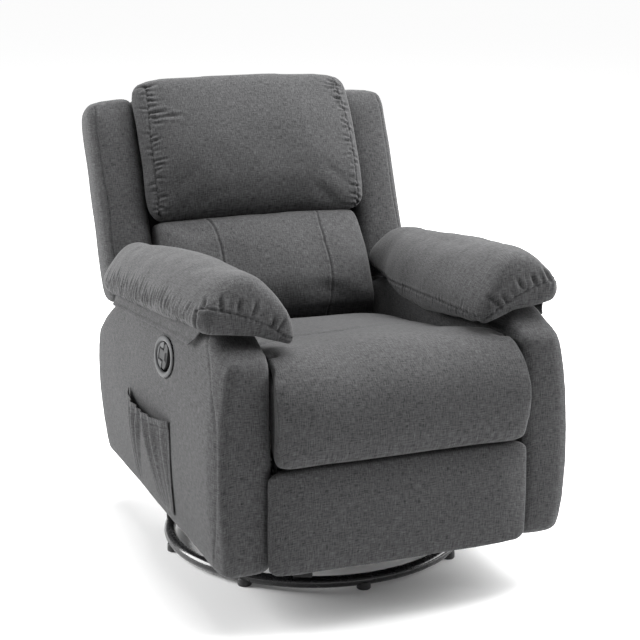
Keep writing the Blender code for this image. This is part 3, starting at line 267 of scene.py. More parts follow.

# %% Tone, seams, painted fold shade and roughness of the weave
TONE_SPAN, CLOUD_SHARE, NAP_AND_SHADE_SHARE = 0.37, 0.06, 0.14
SEAM_AND_FOLD_SHADE = (0.38, 0.38, 0.39, 1.0)
cloud = add(weave, "ShaderNodeTexNoise", Scale=14.0, Detail=3.0, Roughness=0.6)
weave.links.new(place_on.outputs["Object"], cloud.inputs["Vector"])
tone = add(weave, "ShaderNodeMapRange", From_Min=-TONE_SPAN, From_Max=TONE_SPAN)
weave.links.new(threads, tone.inputs["Value"])
toned = sum_of(weave, tone.outputs["Result"], cloud.outputs["Fac"], CLOUD_SHARE)
# the nap layer makes rubbed ridges paler and paints shade into hollows
napped_and_shaded = sum_of(weave, toned, given.outputs["Nap_and_shade"], NAP_AND_SHADE_SHARE)
yarn = add(weave, "ShaderNodeMix", data_type="RGBA")
weave.links.new(napped_and_shaded, yarn.inputs["Factor"])
weave.links.new(given.outputs["Dark"], yarn.inputs[6])
weave.links.new(given.outputs["Light"], yarn.inputs[7])
# the seam layer darkens seams, and also paints shade into folds
sewn = add(weave, "ShaderNodeMix", data_type="RGBA", blend_type="MULTIPLY")
weave.links.new(given.outputs["Seam"], sewn.inputs["Factor"])
weave.links.new(yarn.outputs[2], sewn.inputs[6])
sewn.inputs[7].default_value = SEAM_AND_FOLD_SHADE
weave.links.new(sewn.outputs[2], result.inputs["Colour"])
dull = add(weave, "ShaderNodeMapRange", To_Min=0.98, To_Max=0.80)
weave.links.new(toned, dull.inputs["Value"])
weave.links.new(dull.outputs["Result"], result.inputs["Roughness"])
weave.links.new(toned, result.inputs["Height"])
print("weave group:", len(weave.nodes), "nodes")


# %% Heather cloth
def cloth_finish(name, dark, light):
    """Heather cloth with its seams darker, its rubbed ridges paler, and painted shade in its folds and
    hollows.
    """
    made = bpy.data.materials.new(name)
    made.use_nodes = True
    tree = made.node_tree
    shader = tree.nodes["Principled BSDF"]
    group = tree.nodes.new("ShaderNodeGroup")
    group.node_tree = weave
    group.inputs["Dark"].default_value = (*dark, 1.0)
    group.inputs["Light"].default_value = (*light, 1.0)
    for label in ("Seam", "Nap_and_shade"):
        layer = add(tree, "ShaderNodeAttribute", attribute_name=label.lower())
        tree.links.new(layer.outputs["Fac"], group.inputs[label])
    layer = add(tree, "ShaderNodeAttribute", attribute_name="outward")
    tree.links.new(layer.outputs["Vector"], group.inputs["Outward"])
    bump = tree.nodes.new("ShaderNodeBump")
    bump.inputs["Strength"].default_value = 0.35
    bump.inputs["Distance"].default_value = 0.0007
    tree.links.new(group.outputs["Height"], bump.inputs["Height"])
    tree.links.new(bump.outputs["Normal"], shader.inputs["Normal"])
    tree.links.new(group.outputs["Colour"], shader.inputs["Base Color"])
    tree.links.new(group.outputs["Roughness"], shader.inputs["Roughness"])
    shader.inputs["Sheen Weight"].default_value = 0.08
    shader.inputs["Sheen Roughness"].default_value = 0.45
    shader.inputs["Specular IOR Level"].default_value = 0.25
    return made


HEATHER = cloth_finish("heather_cloth", (0.0080, 0.0080, 0.0084), (0.0655, 0.0655, 0.0672))
print("cloth:", HEATHER.name)

# %% [markdown]
# The hard parts are glossy black enamel on the base, dull zinc on the mechanism, kept dark as painted shade
# where it shows in the slits, oiled spring steel, plywood inside the upholstery, and moulded plastic on the
# glides and the handle. Each gets its own patches and a little wear, because one flat colour looks like a
# toy.

# %% Wear group
wear, given, result = new_group(
    "worn_tone",
    [("Base", "NodeSocketColor", (0.5, 0.5, 0.5, 1)), ("Worn", "NodeSocketColor", (0.6, 0.6, 0.6, 1)),
     ("Scale", "NodeSocketFloat", 30.0), ("Rough", "NodeSocketFloat", 0.4),
     ("Spread", "NodeSocketFloat", 0.1)],
    [("Colour", "NodeSocketColor"), ("Roughness", "NodeSocketFloat"), ("Height", "NodeSocketFloat")])
place_on = wear.nodes.new("ShaderNodeTexCoord")
patch = add(wear, "ShaderNodeTexNoise", Detail=6.0, Roughness=0.65)
wear.links.new(place_on.outputs["Object"], patch.inputs["Vector"])
wear.links.new(given.outputs["Scale"], patch.inputs["Scale"])
spread = add(wear, "ShaderNodeMapRange", From_Min=0.35, From_Max=0.70)
wear.links.new(patch.outputs["Fac"], spread.inputs["Value"])
tint = add(wear, "ShaderNodeMix", data_type="RGBA")
wear.links.new(spread.outputs["Result"], tint.inputs["Factor"])
wear.links.new(given.outputs["Base"], tint.inputs[6])
wear.links.new(given.outputs["Worn"], tint.inputs[7])
wear.links.new(tint.outputs[2], result.inputs["Colour"])
step = wear.nodes.new("ShaderNodeMath")
step.operation = "MULTIPLY_ADD"
wear.links.new(spread.outputs["Result"], step.inputs[0])
wear.links.new(given.outputs["Spread"], step.inputs[1])
wear.links.new(given.outputs["Rough"], step.inputs[2])
wear.links.new(step.outputs[0], result.inputs["Roughness"])
wear.links.new(patch.outputs["Fac"], result.inputs["Height"])
print("wear group:", len(wear.nodes), "nodes")


# %% Hard finishes
def hard_finish(name, base, worn, rough, scatter, scale, metallic=0.0, bump=0.0, coat=0.0, shine=0.5):
    """Enamel, bare metal or plastic with patches of wear."""
    made = bpy.data.materials.new(name)
    made.use_nodes = True
    tree = made.node_tree
    shader = tree.nodes["Principled BSDF"]
    group = tree.nodes.new("ShaderNodeGroup")
    group.node_tree = wear
    group.inputs["Base"].default_value = (*base, 1.0)
    group.inputs["Worn"].default_value = (*worn, 1.0)
    group.inputs["Scale"].default_value = scale
    group.inputs["Rough"].default_value = rough
    group.inputs["Spread"].default_value = scatter
    tree.links.new(group.outputs["Colour"], shader.inputs["Base Color"])
    tree.links.new(group.outputs["Roughness"], shader.inputs["Roughness"])
    shader.inputs["Metallic"].default_value = metallic
    shader.inputs["Specular IOR Level"].default_value = shine
    shader.inputs["Coat Weight"].default_value = coat
    shader.inputs["Coat Roughness"].default_value = 0.08
    if bump:
        dent = tree.nodes.new("ShaderNodeBump")
        dent.inputs["Strength"].default_value = 0.4
        dent.inputs["Distance"].default_value = bump
        tree.links.new(group.outputs["Height"], dent.inputs["Height"])
        tree.links.new(dent.outputs["Normal"], shader.inputs["Normal"])
    return made


# %% Enamel, zinc, spring steel and plastic
FINISHES = {
    "steel_black": hard_finish("black_enamel", (0.008, 0.008, 0.009), (0.014, 0.014, 0.015),
                               rough=0.24, scatter=0.06, scale=45.0, coat=0.35, shine=0.4),
    # dull zinc, darker than bare plating, as painted shade where the mechanism shows in the slits
    "steel_zinc": hard_finish("zinc_plate_darkened_as_shade", (0.20, 0.205, 0.21), (0.32, 0.32, 0.315),
                              rough=0.38, scatter=0.20, scale=60.0, metallic=0.95),
    "spring_steel": hard_finish("spring_steel", (0.16, 0.16, 0.17), (0.24, 0.23, 0.22),
                                rough=0.30, scatter=0.22, scale=80.0, metallic=0.9),
    "plastic_black": hard_finish("black_plastic", (0.018, 0.018, 0.019), (0.030, 0.030, 0.031),
                                 rough=0.45, scatter=0.15, scale=220.0, bump=0.0001),
    "plastic_grey": hard_finish("grey_plastic", (0.072, 0.073, 0.075), (0.090, 0.091, 0.093),
                                rough=0.50, scatter=0.12, scale=260.0, bump=0.0001, shine=0.12),
    "lever_grey": hard_finish("lever_plastic", (0.034, 0.034, 0.035), (0.046, 0.046, 0.047),
                              rough=0.50, scatter=0.12, scale=260.0, bump=0.0001, shine=0.12),
    # dark plastic made near black and unshiny, as painted shade inside the handle's recess
    "slot_black": hard_finish("slot_plastic_painted_shade", (0.002, 0.002, 0.002), (0.004, 0.004, 0.004),
                              rough=0.85, scatter=0.10, scale=220.0, shine=0.02),
}
print("hard finishes:", len(FINISHES))

# %% Plywood
GRAIN = (9.0, 60.0, 160.0)
ply = bpy.data.materials.new("plywood")
ply.use_nodes = True
tree = ply.node_tree
shader = tree.nodes["Principled BSDF"]
coord = tree.nodes.new("ShaderNodeTexCoord")
stretch = tree.nodes.new("ShaderNodeMapping")
stretch.inputs["Scale"].default_value = GRAIN
rings = add(tree, "ShaderNodeTexNoise", Scale=1.0, Detail=4.0, Roughness=0.6)
tree.links.new(coord.outputs["Object"], stretch.inputs["Vector"])
tree.links.new(stretch.outputs["Vector"], rings.inputs["Vector"])
band = tree.nodes.new("ShaderNodeValToRGB")
band.color_ramp.elements[0].position, band.color_ramp.elements[0].color = 0.3, (0.30, 0.19, 0.10, 1.0)
band.color_ramp.elements[1].position, band.color_ramp.elements[1].color = 0.7, (0.58, 0.43, 0.27, 1.0)
tree.links.new(rings.outputs["Fac"], band.inputs["Fac"])
tree.links.new(band.outputs["Color"], shader.inputs["Base Color"])
shader.inputs["Roughness"].default_value = 0.72
FINISHES["plywood"] = ply
print("plywood:", len(tree.nodes), "nodes")

# %% [markdown]
# A cushion is a cloth bag over foam. Each one starts as a copy of its CAD solid that is remeshed into even
# small squares, so that cloth can move anywhere on it. Blender's Cloth then blows it up a little from inside
# while its hidden sides are held, and the seams, folds and gathers are pressed in afterwards.

# %% Reading and writing a mesh
def coords(mesh):
    """All points of a mesh as an array."""
    flat = np.empty(3 * len(mesh.vertices), dtype=np.float32)
    mesh.vertices.foreach_get("co", flat)
    return flat.reshape(-1, 3).astype(float)


def facing(mesh):
    """The outward direction at every point."""
    flat = np.empty(3 * len(mesh.vertices), dtype=np.float32)
    mesh.vertex_normals.foreach_get("vector", flat)
    return flat.reshape(-1, 3).astype(float)


def place(mesh, spots):
    """Put the points of a mesh where an array says."""
    mesh.vertices.foreach_set("co", spots.astype(np.float32).ravel())
    mesh.update()


def bake(piece):
    """Turn a piece's modifiers into its own mesh."""
    graph = bpy.context.evaluated_depsgraph_get()
    mesh = bpy.data.meshes.new_from_object(piece.evaluated_get(graph))
    piece.modifiers.clear()
    old = piece.data
    piece.data = mesh
    bpy.data.meshes.remove(old)
    return piece


# %% Ramps, blurs and marks
def ramp(values, low, high):
    """0 below low, 1 above high, and smooth between."""
    share = np.clip((values - low) / (high - low), 0.0, 1.0)
    return share * share * (3.0 - 2.0 * share)


def blurred(mesh, values, times):
    """Values at the points, averaged with their neighbours again and again."""
    ends = np.empty(2 * len(mesh.edges), dtype=np.int32)
    mesh.edges.foreach_get("vertices", ends)
    one, two = ends[0::2], ends[1::2]
    count = len(mesh.vertices)
    degree = np.maximum(np.bincount(one, minlength=count) + np.bincount(two, minlength=count), 1)
    values = values.reshape(count, -1)
    for _ in range(times):
        total = np.stack([np.bincount(one, weights=column[two], minlength=count)
                          + np.bincount(two, weights=column[one], minlength=count) for column in values.T], 1)
        values = 0.5 * values + 0.5 * total / degree[:, None]
    return values


def mark(piece, name, values):
    """Keep the highest value seen so far at every point in a named layer of the mesh."""
    layer = piece.data.attributes.get(name) or piece.data.attributes.new(name, "FLOAT", "POINT")
    old = np.zeros(len(piece.data.vertices), dtype=np.float32)
    layer.data.foreach_get("value", old)
    layer.data.foreach_set("value", np.maximum(old, values).astype(np.float32))


# %% Skin over a solid
def skin(name, node, grain, calm=20, mirror=False):
    """An even fine skin over a CAD cushion."""
    form = bmesh.new()
    form.from_mesh(nodes[node].data)
    bmesh.ops.remove_doubles(form, verts=form.verts, dist=0.00001)
    if mirror:
        bmesh.ops.scale(form, vec=(-1.0, 1.0, 1.0), verts=form.verts)
        bmesh.ops.reverse_faces(form, faces=form.faces)
    piece = piece_from(form, name)
    step = piece.modifiers.new("Remesh", "REMESH")
    step.mode, step.voxel_size = "VOXEL", grain
    step = piece.modifiers.new("Smooth", "SMOOTH")
    step.factor, step.iterations = 0.5, calm
    return bake(piece)


# %% Puff and refine
def puff(piece, free, press=4.0, most=0.012, frames=16):
    """Blow cloth up from inside where it is free, and let no point move further than most."""
    hold = piece.vertex_groups.new(name="hold")
    held = np.round(4.0 * (1.0 - free)) / 4.0
    for weight in (0.25, 0.5, 0.75, 1.0):
        hold.add(np.flatnonzero(held == weight).tolist(), weight, "REPLACE")
    start = coords(piece.data)
    sim = piece.modifiers.new("Cloth", "CLOTH")
    sim.settings.vertex_group_mass = "hold"
    sim.settings.quality = 4
    sim.settings.mass = 0.15
    sim.settings.tension_stiffness = sim.settings.compression_stiffness = 12.0
    sim.settings.shear_stiffness = 5.0
    sim.settings.bending_stiffness = 0.4
    sim.settings.use_pressure = True
    sim.settings.uniform_pressure_force = press
    sim.settings.effector_weights.gravity = 0.0
    sim.collision_settings.use_collision = False
    sim.point_cache.frame_start, sim.point_cache.frame_end = 1, frames
    for number in range(1, frames + 1):
        scene.frame_set(number)
    graph = bpy.context.evaluated_depsgraph_get()
    moved = coords(piece.evaluated_get(graph).data) - start
    piece.modifiers.clear()
    piece.vertex_groups.clear()
    far = np.maximum(np.linalg.norm(moved, axis=1), 1e-9)
    moved *= np.minimum(1.0, most / far)[:, None] * free[:, None]
    place(piece.data, start + blurred(piece.data, moved, 16))
    scene.frame_set(1)
    print(piece.name, "puffed by", round(1000 * float(far.max()), 1), "mm at most")


def refine(piece):
    """Split every square into four, for seams and folds finer than the first skin."""
    step = piece.modifiers.new("Subdivision", "SUBSURF")
    step.levels = step.render_levels = 1
    return bake(piece)


# %% Lines on the cloth
def settle(piece, line, steps=8):
    """A smooth line through a few points, laid onto a piece's surface."""
    graph = bpy.context.evaluated_depsgraph_get()
    body = piece.evaluated_get(graph)
    knots = [Vector(spot) for spot in line]
    knots = [2 * knots[0] - knots[1], *knots, 2 * knots[-1] - knots[-2]]
    out = []
    for a, b, c, d in zip(knots, knots[1:], knots[2:], knots[3:]):
        for k in range(steps):
            t = k / steps
            spot = 0.5 * (2 * b + (c - a) * t + (2 * a - 5 * b + 4 * c - d) * t ** 2
                          + (3 * b - a - 3 * c + d) * t ** 3)
            out.append(spot)
    out.append(knots[-2])
    return np.array([body.closest_point_on_mesh(spot)[1] for spot in out])


def beside(spots, line):
    """Each point's distance from a line, and the share of the line's length where it is nearest."""
    legs = np.diff(line, axis=0)
    lengths = np.maximum(np.linalg.norm(legs, axis=1), 1e-9)
    best, share, start = np.full(len(spots), 9.0), np.zeros(len(spots)), 0.0
    for spot, leg, length in zip(line, legs, lengths):
        t = np.clip((spots - spot) @ leg / length ** 2, 0.0, 1.0)
        gap = np.linalg.norm(spots - spot - t[:, None] * leg, axis=1)
        near = gap < best
        best[near], share[near] = gap[near], start + t[near] * length
        start += length
    return best, share / start


# %% Finer squares beside a seam
def close_up(piece, lines, reach=0.009):
    """Split the squares beside seam lines once more, so that a thin seam stays crisp."""
    spots = coords(piece.data)
    near = np.zeros(len(spots), dtype=bool)
    for line in lines:
        near |= beside(spots, settle(piece, line))[0] < reach
    form = bmesh.new()
    form.from_mesh(piece.data)
    edges = [edge for edge in form.edges if all(near[vertex.index] for vertex in edge.verts)]
    bmesh.ops.subdivide_edges(form, edges=edges, cuts=1, use_grid_fill=True)
    form.to_mesh(piece.data)
    form.free()


# %% Seams and folds
def sew(piece, line, width, depth, lip, dark):
    """Draw a seam into the cloth along a line, and mark it."""
    line = settle(piece, line)
    spots, out = coords(piece.data), facing(piece.data)
    gap, _ = beside(spots, line)
    dip = depth * np.exp(-(gap / width) ** 2) - lip * np.exp(-((gap - 2.6 * width) / (1.3 * width)) ** 2)
    place(piece.data, spots - dip[:, None] * out)
    mark(piece, "seam", dark * np.exp(-(gap / (0.8 * width)) ** 2))
    return line


def crease(piece, lines, width, depth, lip):
    """Press soft folds along lines; each fades out at both ends."""
    spots, out = coords(piece.data), facing(piece.data)
    dip = np.zeros(len(spots))
    for line in lines:
        line = np.asarray(line)
        box = np.all((spots > line.min(0) - 6 * width) & (spots < line.max(0) + 6 * width), axis=1)
        gap, share = beside(spots[box], line)
        fade = np.sin(np.pi * np.clip(0.06 + 0.88 * share, 0, 1)) ** 0.8
        groove = np.exp(-(gap / width) ** 2) * fade
        dip[box] += depth * groove - lip * fade * np.exp(-((gap - 2.2 * width) / (1.2 * width)) ** 2)
    place(piece.data, spots - dip[:, None] * out)


# %% Gathers and swells
def gathers(piece, line, count, shortest, longest, depth, width, seed, sides=(1, -1)):
    """Short creases that run out from a seam where the cloth was gathered into it."""
    dice = random.Random(seed)
    graph = bpy.context.evaluated_depsgraph_get()
    body = piece.evaluated_get(graph)
    spots, out = coords(piece.data), facing(piece.data)
    lift = np.zeros(len(spots))
    for k in range(count):
        share = (k + dice.uniform(0.15, 0.85)) / count
        index = min(int(share * (len(line) - 1)), len(line) - 2)
        base = Vector(line[index])
        run = (Vector(line[index + 1]) - base).normalized()
        _, _, normal, _ = body.closest_point_on_mesh(base)
        away = run.cross(normal) * dice.choice(sides) + run * dice.uniform(-0.35, 0.35)
        length = dice.uniform(shortest, longest) * dice.uniform(0.6, 1.0)
        path = [body.closest_point_on_mesh(base + away * length * t)[1] for t in (0.0, 0.5, 1.0)]
        box = np.all(np.abs(spots - np.array(base)) < length * 1.5 + 4 * width, axis=1)
        gap, along = beside(spots[box], np.array(path))
        fall = ramp(along, -0.05, 0.12) * (1.0 - along) ** 0.8
        fade = fall * np.exp(-(gap / width) ** 2)
        crest = fall * np.exp(-((gap - 2.0 * width) / (1.1 * width)) ** 2)
        lift[box] += dice.uniform(0.5, 1.0) * depth * (0.55 * crest - fade)
    place(piece.data, spots + lift[:, None] * out)


def rumple(piece, size, height, seed):
    """Slow uneven swells, as in cloth over foam."""
    spots, out = coords(piece.data), facing(piece.data)
    drift = Vector((seed, 2 * seed, 3 * seed))
    swell = height * np.array([noise.noise(Vector(spot / size) + drift) for spot in spots])
    place(piece.data, spots + swell[:, None] * out)


# %% Covering a cushion
PROUD_STEP, FOLD_SHADE_STEP = 0.0015, 0.0022


def rub_and_shade(piece):
    """Mark proud cloth rubbed paler, hollows and folds given painted shade, and which way the cloth faces."""
    spots, out = coords(piece.data), facing(piece.data)
    proud = ((spots - blurred(piece.data, spots, 14)) * out).sum(1)
    mark(piece, "nap_and_shade", np.zeros(len(spots)))
    layer = piece.data.attributes["nap_and_shade"]
    # nap: paler on proud ridges as rubbed cloth, darker in hollows as painted shade
    layer.data.foreach_set("value", np.clip(proud / PROUD_STEP, -1.0, 0.6).astype(np.float32))
    # folds go into the seam layer too, which paints shade into them
    mark(piece, "seam", np.clip(-proud / FOLD_SHADE_STEP - 0.10, 0.0, 0.45))
    layer = piece.data.attributes.new("outward", "FLOAT_VECTOR", "POINT")
    layer.data.foreach_set("vector", out.astype(np.float32).ravel())


def upholster(piece, node, body):
    """Dress a finished cushion in cloth and hang it on its body."""
    mark(piece, "seam", np.zeros(len(piece.data.vertices)))
    rub_and_shade(piece)
    piece.data.materials.clear()
    piece.data.materials.append(HEATHER)
    piece.data.shade_smooth()
    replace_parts(piece, node)
    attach(piece, body)
    print(piece.name, "has", len(piece.data.polygons), "faces")


# %% Plane of the back, and the other side
LEAN = math.radians(22.5)
# y and z of the hinge that the back leans on
BACK_PIVOT = (0.2173, 0.240)


def back_depth(spots):
    """How far points lie behind the plane of the back; negative in front."""
    return (spots[:, 1] - BACK_PIVOT[0]) * math.cos(LEAN) - (spots[:, 2] - BACK_PIVOT[1]) * math.sin(LEAN)


def mirrored(line):
    """The same line on the other side of the chair."""
    return [(-x, y, z) for x, y, z in line]


# %% [markdown]
# The headrest is a box cushion: one front panel, and a gusset round its sides that was gathered as it was
# sewn, so the seams show rows of short creases. Longer folds fan out from its upper left corner. Bump in the
# material could fake them all, but it leaves the outline straight and throws no shadow, so they are pressed
# into the mesh.

# %% Headrest
head = skin("headrest_cover", "headrest_cushion", grain=0.005, calm=24)
depth = back_depth(coords(head.data))
puff(head, ramp(-depth, 0.055, 0.085), most=0.010)
refine(head)
GUSSET = [(-0.237, 0.442, 0.966), (-0.239, 0.417, 0.939), (-0.244, 0.389, 0.896), (-0.247, 0.366, 0.853),
          (-0.248, 0.340, 0.799), (-0.249, 0.319, 0.744), (-0.249, 0.307, 0.695), (-0.243, 0.312, 0.670)]
close_up(head, (GUSSET, mirrored(GUSSET)), reach=0.020)
for number, line in enumerate((GUSSET, mirrored(GUSSET))):
    seam = sew(head, line, width=0.0022, depth=0.0014, lip=0.0004, dark=0.30)
    inward = -1 if number == 0 else 1
    gathers(head, seam, count=44, shortest=0.016, longest=0.046, depth=0.0034, width=0.0034, seed=11 + number,
            sides=(inward, inward, inward, -inward))
CORNER_FOLDS = (
    [(-0.251, 0.439, 0.958), (-0.209, 0.440, 0.971)], [(-0.246, 0.399, 0.909), (-0.196, 0.389, 0.913)],
    [(-0.245, 0.393, 0.900), (-0.167, 0.378, 0.903)], [(-0.235, 0.381, 0.888), (-0.213, 0.378, 0.892)])
crease(head, [settle(head, line) for line in CORNER_FOLDS], width=0.0045, depth=0.0030, lip=0.0014)
rumple(head, size=0.09, height=0.0022, seed=1.7)
upholster(head, "headrest_cushion", "backrest")

# %% [markdown]
# The lumbar cushion is three sewn panels, a wide one between two narrow ones, and its top runs in under the
# headrest. The two seams curve inwards as they go down. Three separate bags would need their edges matched,
# so one bag is made and both seams are pressed into it.

# %% Lumbar cushion
WIDER_LEFT, WIDER_RIGHT, TALLER = 0.026, 0.010, 0.010
BETWEEN_ARMS = 0.2555
lumbar = skin("lumbar_cover", "lumbar_cushion", grain=0.005, calm=20)
spots = coords(lumbar.data)
spots[:, 0] -= WIDER_LEFT * ramp(-spots[:, 0], 0.10, 0.225) - WIDER_RIGHT * ramp(spots[:, 0], 0.12, 0.235)
spots[:, 0] = np.clip(spots[:, 0], -BETWEEN_ARMS, BETWEEN_ARMS)
spots[:, 2] += TALLER * ramp(spots[:, 2], 0.60, 0.66)
place(lumbar.data, spots)
depth = back_depth(spots)
puff(lumbar, ramp(-depth, 0.060, 0.090), most=0.008)
refine(lumbar)
PANEL_SEAM = [(-0.136, 0.300, 0.668), (-0.128, 0.268, 0.649), (-0.126, 0.230, 0.607), (-0.128, 0.197, 0.564),
              (-0.124, 0.167, 0.519), (-0.120, 0.150, 0.470), (-0.118, 0.150, 0.430)]
close_up(lumbar, (PANEL_SEAM, mirrored(PANEL_SEAM)))
for number, line in enumerate((PANEL_SEAM, mirrored(PANEL_SEAM))):
    seam = sew(lumbar, line, width=0.0024, depth=0.0019, lip=0.0007, dark=0.45)
    gathers(lumbar, seam, count=9, shortest=0.010, longest=0.030, depth=0.0008, width=0.0045,
            seed=21 + number)
rumple(lumbar, size=0.08, height=0.0022, seed=4.1)
upholster(lumbar, "lumbar_cushion", "backrest")

# %% [markdown]
# The seat is a thick foam block whose front rolls over and down to the footrest. The CAD solid rounds its
# front corners more than the real cushion does, so the roof and then the face are compared with their middle
# line and filled up towards the sides. Where a sitter's thighs end, the cover shows one shallow crease.

# %% Seat with squared front corners
# each row: the stretch that is read along y for the roof, or along z for the face, and how deep it is filled
CORNER_FILLS = ((-0.56, 0.0, 0.100), (0.32, 0.56, 0.080))
LEFT_SPREAD = 0.007
seat = skin("seat_cover", "seat_cushion", grain=0.006, calm=22)
spots = coords(seat.data)
wide = np.abs(spots[:, 0])
middle = spots[wide < 0.02]
for low, high, reach in CORNER_FILLS:
    down = low < 0.0
    rows = np.linspace(low, high, 60)
    key, value = (1, 2) if down else (2, 1)
    near = [middle[np.abs(middle[:, key] - row) < 0.006][:, value] for row in rows]
    crest = [np.nan if not len(row) else (row.max() if down else row.min()) for row in near]
    good = ~np.isnan(crest)
    crest = np.interp(spots[:, key], rows[good], np.array(crest)[good])
    drop = (crest - spots[:, value]) if down else (spots[:, value] - crest)
    share = np.clip(drop / reach, 0.0, 1.0)
    lift = reach * (share - share ** 3.2) * ramp(wide, 0.06, 0.20) * ramp(-spots[:, 1], 0.22, 0.40)
    lift *= ramp(spots[:, 2], 0.36, 0.44)
    spots[:, value] += lift if down else -lift
    spots = blurred(seat.data, spots, 3)
spots[:, 0] -= LEFT_SPREAD * ramp(-spots[:, 0], 0.20, 0.25) * ramp(-spots[:, 1], 0.485, 0.515)
place(seat.data, spots)
print(seat.name, "starts with", len(spots), "points")

# %% Filling and folds of the seat
THIGH_DIP, THIGH_WIDTH = 0.006, 0.014
out = facing(seat.data)
roof = ramp(out[:, 2], 0.25, 0.7) * ramp(spots[:, 2], 0.43, 0.46)
face = ramp(-out[:, 1], 0.25, 0.7) * ramp(-spots[:, 1], 0.50, 0.52)
puff(seat, np.maximum(roof, face) * ramp(-np.abs(spots[:, 0]), -0.262, -0.235), most=0.012)
refine(seat)
spots, out = coords(seat.data), facing(seat.data)
line = settle(seat, [(-0.250, -0.232, 0.505), (-0.128, -0.230, 0.514), (-0.066, -0.236, 0.517),
                     (0.002, -0.235, 0.518), (0.073, -0.228, 0.516), (0.160, -0.214, 0.512)])
gap, share = beside(spots, line)
dip = THIGH_DIP * np.exp(-(gap / THIGH_WIDTH) ** 2) * ramp(-share, -1.0, -0.55) * ramp(out[:, 2], 0.3, 0.7)
place(seat.data, spots - dip[:, None] * out)
CORNER_TUCKS = ([(-0.234, -0.420, 0.530), (-0.247, -0.452, 0.520), (-0.256, -0.475, 0.505)],
                [(0.236, -0.430, 0.532), (0.248, -0.460, 0.522), (0.256, -0.480, 0.505)])
crease(seat, [settle(seat, line) for line in CORNER_TUCKS], width=0.007, depth=0.005, lip=0.002)
rumple(seat, size=0.11, height=0.0026, seed=7.3)
upholster(seat, "seat_cushion", "chair_body")

# %% [markdown]
# The footrest is a board with a thin pad that closes the front of the chair, so its cover is stretched flat
# and only its edges are round. In front it spreads over the rounded edges of the arms. It is blown up less
# than the cushions are, since a fuller pad would look like a pillow.

# %% Footrest pad
SPREAD_LEFT, SPREAD_RIGHT, SPREAD_ALL = 0.023, 0.010, 0.0012
pad = skin("footrest_cover", "footrest_pad", grain=0.0055, calm=5)
spots, out = coords(pad.data), facing(pad.data)
flare = ramp(-spots[:, 1], 0.490, 0.516)
spots[:, 0] -= (SPREAD_ALL + SPREAD_LEFT * flare) * ramp(-spots[:, 0], 0.15, 0.25)
spots[:, 0] += (SPREAD_ALL + SPREAD_RIGHT * flare) * ramp(spots[:, 0], 0.15, 0.25)
place(pad.data, spots)
puff(pad, ramp(-out[:, 1], 0.3, 0.8), most=0.005, frames=12)
refine(pad)
rumple(pad, size=0.10, height=0.0016, seed=2.9)
upholster(pad, "footrest_pad", "footrest")

# %% [markdown]
# The arms are wooden boxes under a tight cover. The cover is sewn to a padded front panel, and that seam runs
# down the outer edge as one long soft crease. Both covers start from the right arm, whose solid has no hole,
# and the left one is its mirror image. The top rolls over in front and bunches up a little behind the pillow.
# The opening for the handle is cut afterwards.

# %% Arms
ROLL, BUNCH, FRONT_SWELL = 0.015, 0.014, 0.009
FRONT_SEAM = [(-0.350, -0.372, 0.580), (-0.359, -0.395, 0.557), (-0.368, -0.442, 0.506),
              (-0.371, -0.477, 0.425), (-0.374, -0.484, 0.318), (-0.376, -0.476, 0.230),
              (-0.374, -0.459, 0.158), (-0.366, -0.445, 0.122)]
covers = {}
for side, label in ((-1, "left"), (1, "right")):
    arm = skin("arm_%s_cover" % label, "arm_right", grain=0.0048, calm=5, mirror=side < 0)
    spots, out = coords(arm.data), facing(arm.data)
    wide = np.abs(spots[:, 0])
    roll = ramp(spots[:, 2], 0.50, 0.58) * ramp(-spots[:, 1], 0.375, 0.450)
    behind = ramp(spots[:, 1], 0.262, 0.282) * (1.0 - ramp(spots[:, 1], 0.300, 0.325))
    bunch = behind * ramp(out[:, 2], 0.1, 0.6)
    front = ramp(-spots[:, 1], 0.44, 0.475) * ramp(-out[:, 1], 0.2, 0.7)
    spots[:, 2] += BUNCH * bunch * ramp(0.33 - wide, 0.0, 0.05) - ROLL * roll
    spots[:, 1] -= FRONT_SWELL * front * ramp(spots[:, 2], 0.12, 0.20)
    place(arm.data, blurred(arm.data, spots, 3))
    line = FRONT_SEAM if side < 0 else mirrored(FRONT_SEAM)
    close_up(arm, [line])
    seam = sew(arm, line, width=0.0034, depth=0.0010, lip=0.0003, dark=0.08)
    gathers(arm, seam, count=10, shortest=0.010, longest=0.026, depth=0.0006, width=0.0050, seed=31 + side)
    rumple(arm, size=0.16, height=0.0020, seed=5.5 + side)
    covers[label] = arm
print("arms:", [len(arm.data.vertices) for arm in covers.values()], "points")

# %% Opening for the handle
HANDLE_SPOT = Vector((-0.374676, -0.1507, 0.482248))
HANDLE_TILT = math.radians(9.5)
# the handle's own frame: x points forward, y up and z out of the arm, whose side leans inwards by the tilt
FORWARD = Vector((0.0, -1.0, 0.0))
UPWARD = Vector((math.sin(HANDLE_TILT), 0.0, math.cos(HANDLE_TILT)))
OUTWARD = Vector((-math.cos(HANDLE_TILT), 0.0, math.sin(HANDLE_TILT)))
HANDLE_FRAME = Matrix((FORWARD, UPWARD, OUTWARD)).transposed().to_4x4()
HANDLE_FRAME.translation = HANDLE_SPOT
RIM_LENGTH, RIM_HEIGHT = 0.126, 0.084
FLAT_SHARE, HOLE_SHARE = 1.35, 0.90
SKIN_DEPTH, SLEEVE_DEPTH = 0.03, 0.036
arm = covers["left"]
spots = coords(arm.data)
local = (spots - np.array(HANDLE_SPOT)) @ np.array([FORWARD, UPWARD, OUTWARD]).T
oval = np.hypot(local[:, 0] / (RIM_LENGTH / 2), local[:, 1] / (RIM_HEIGHT / 2))
outer_side = local[:, 2] > -SKIN_DEPTH
under = (oval < FLAT_SHARE) & outer_side
level = np.minimum(local[:, 2], -0.0006 + 0.02 * np.maximum(oval - 1.0, 0.0))
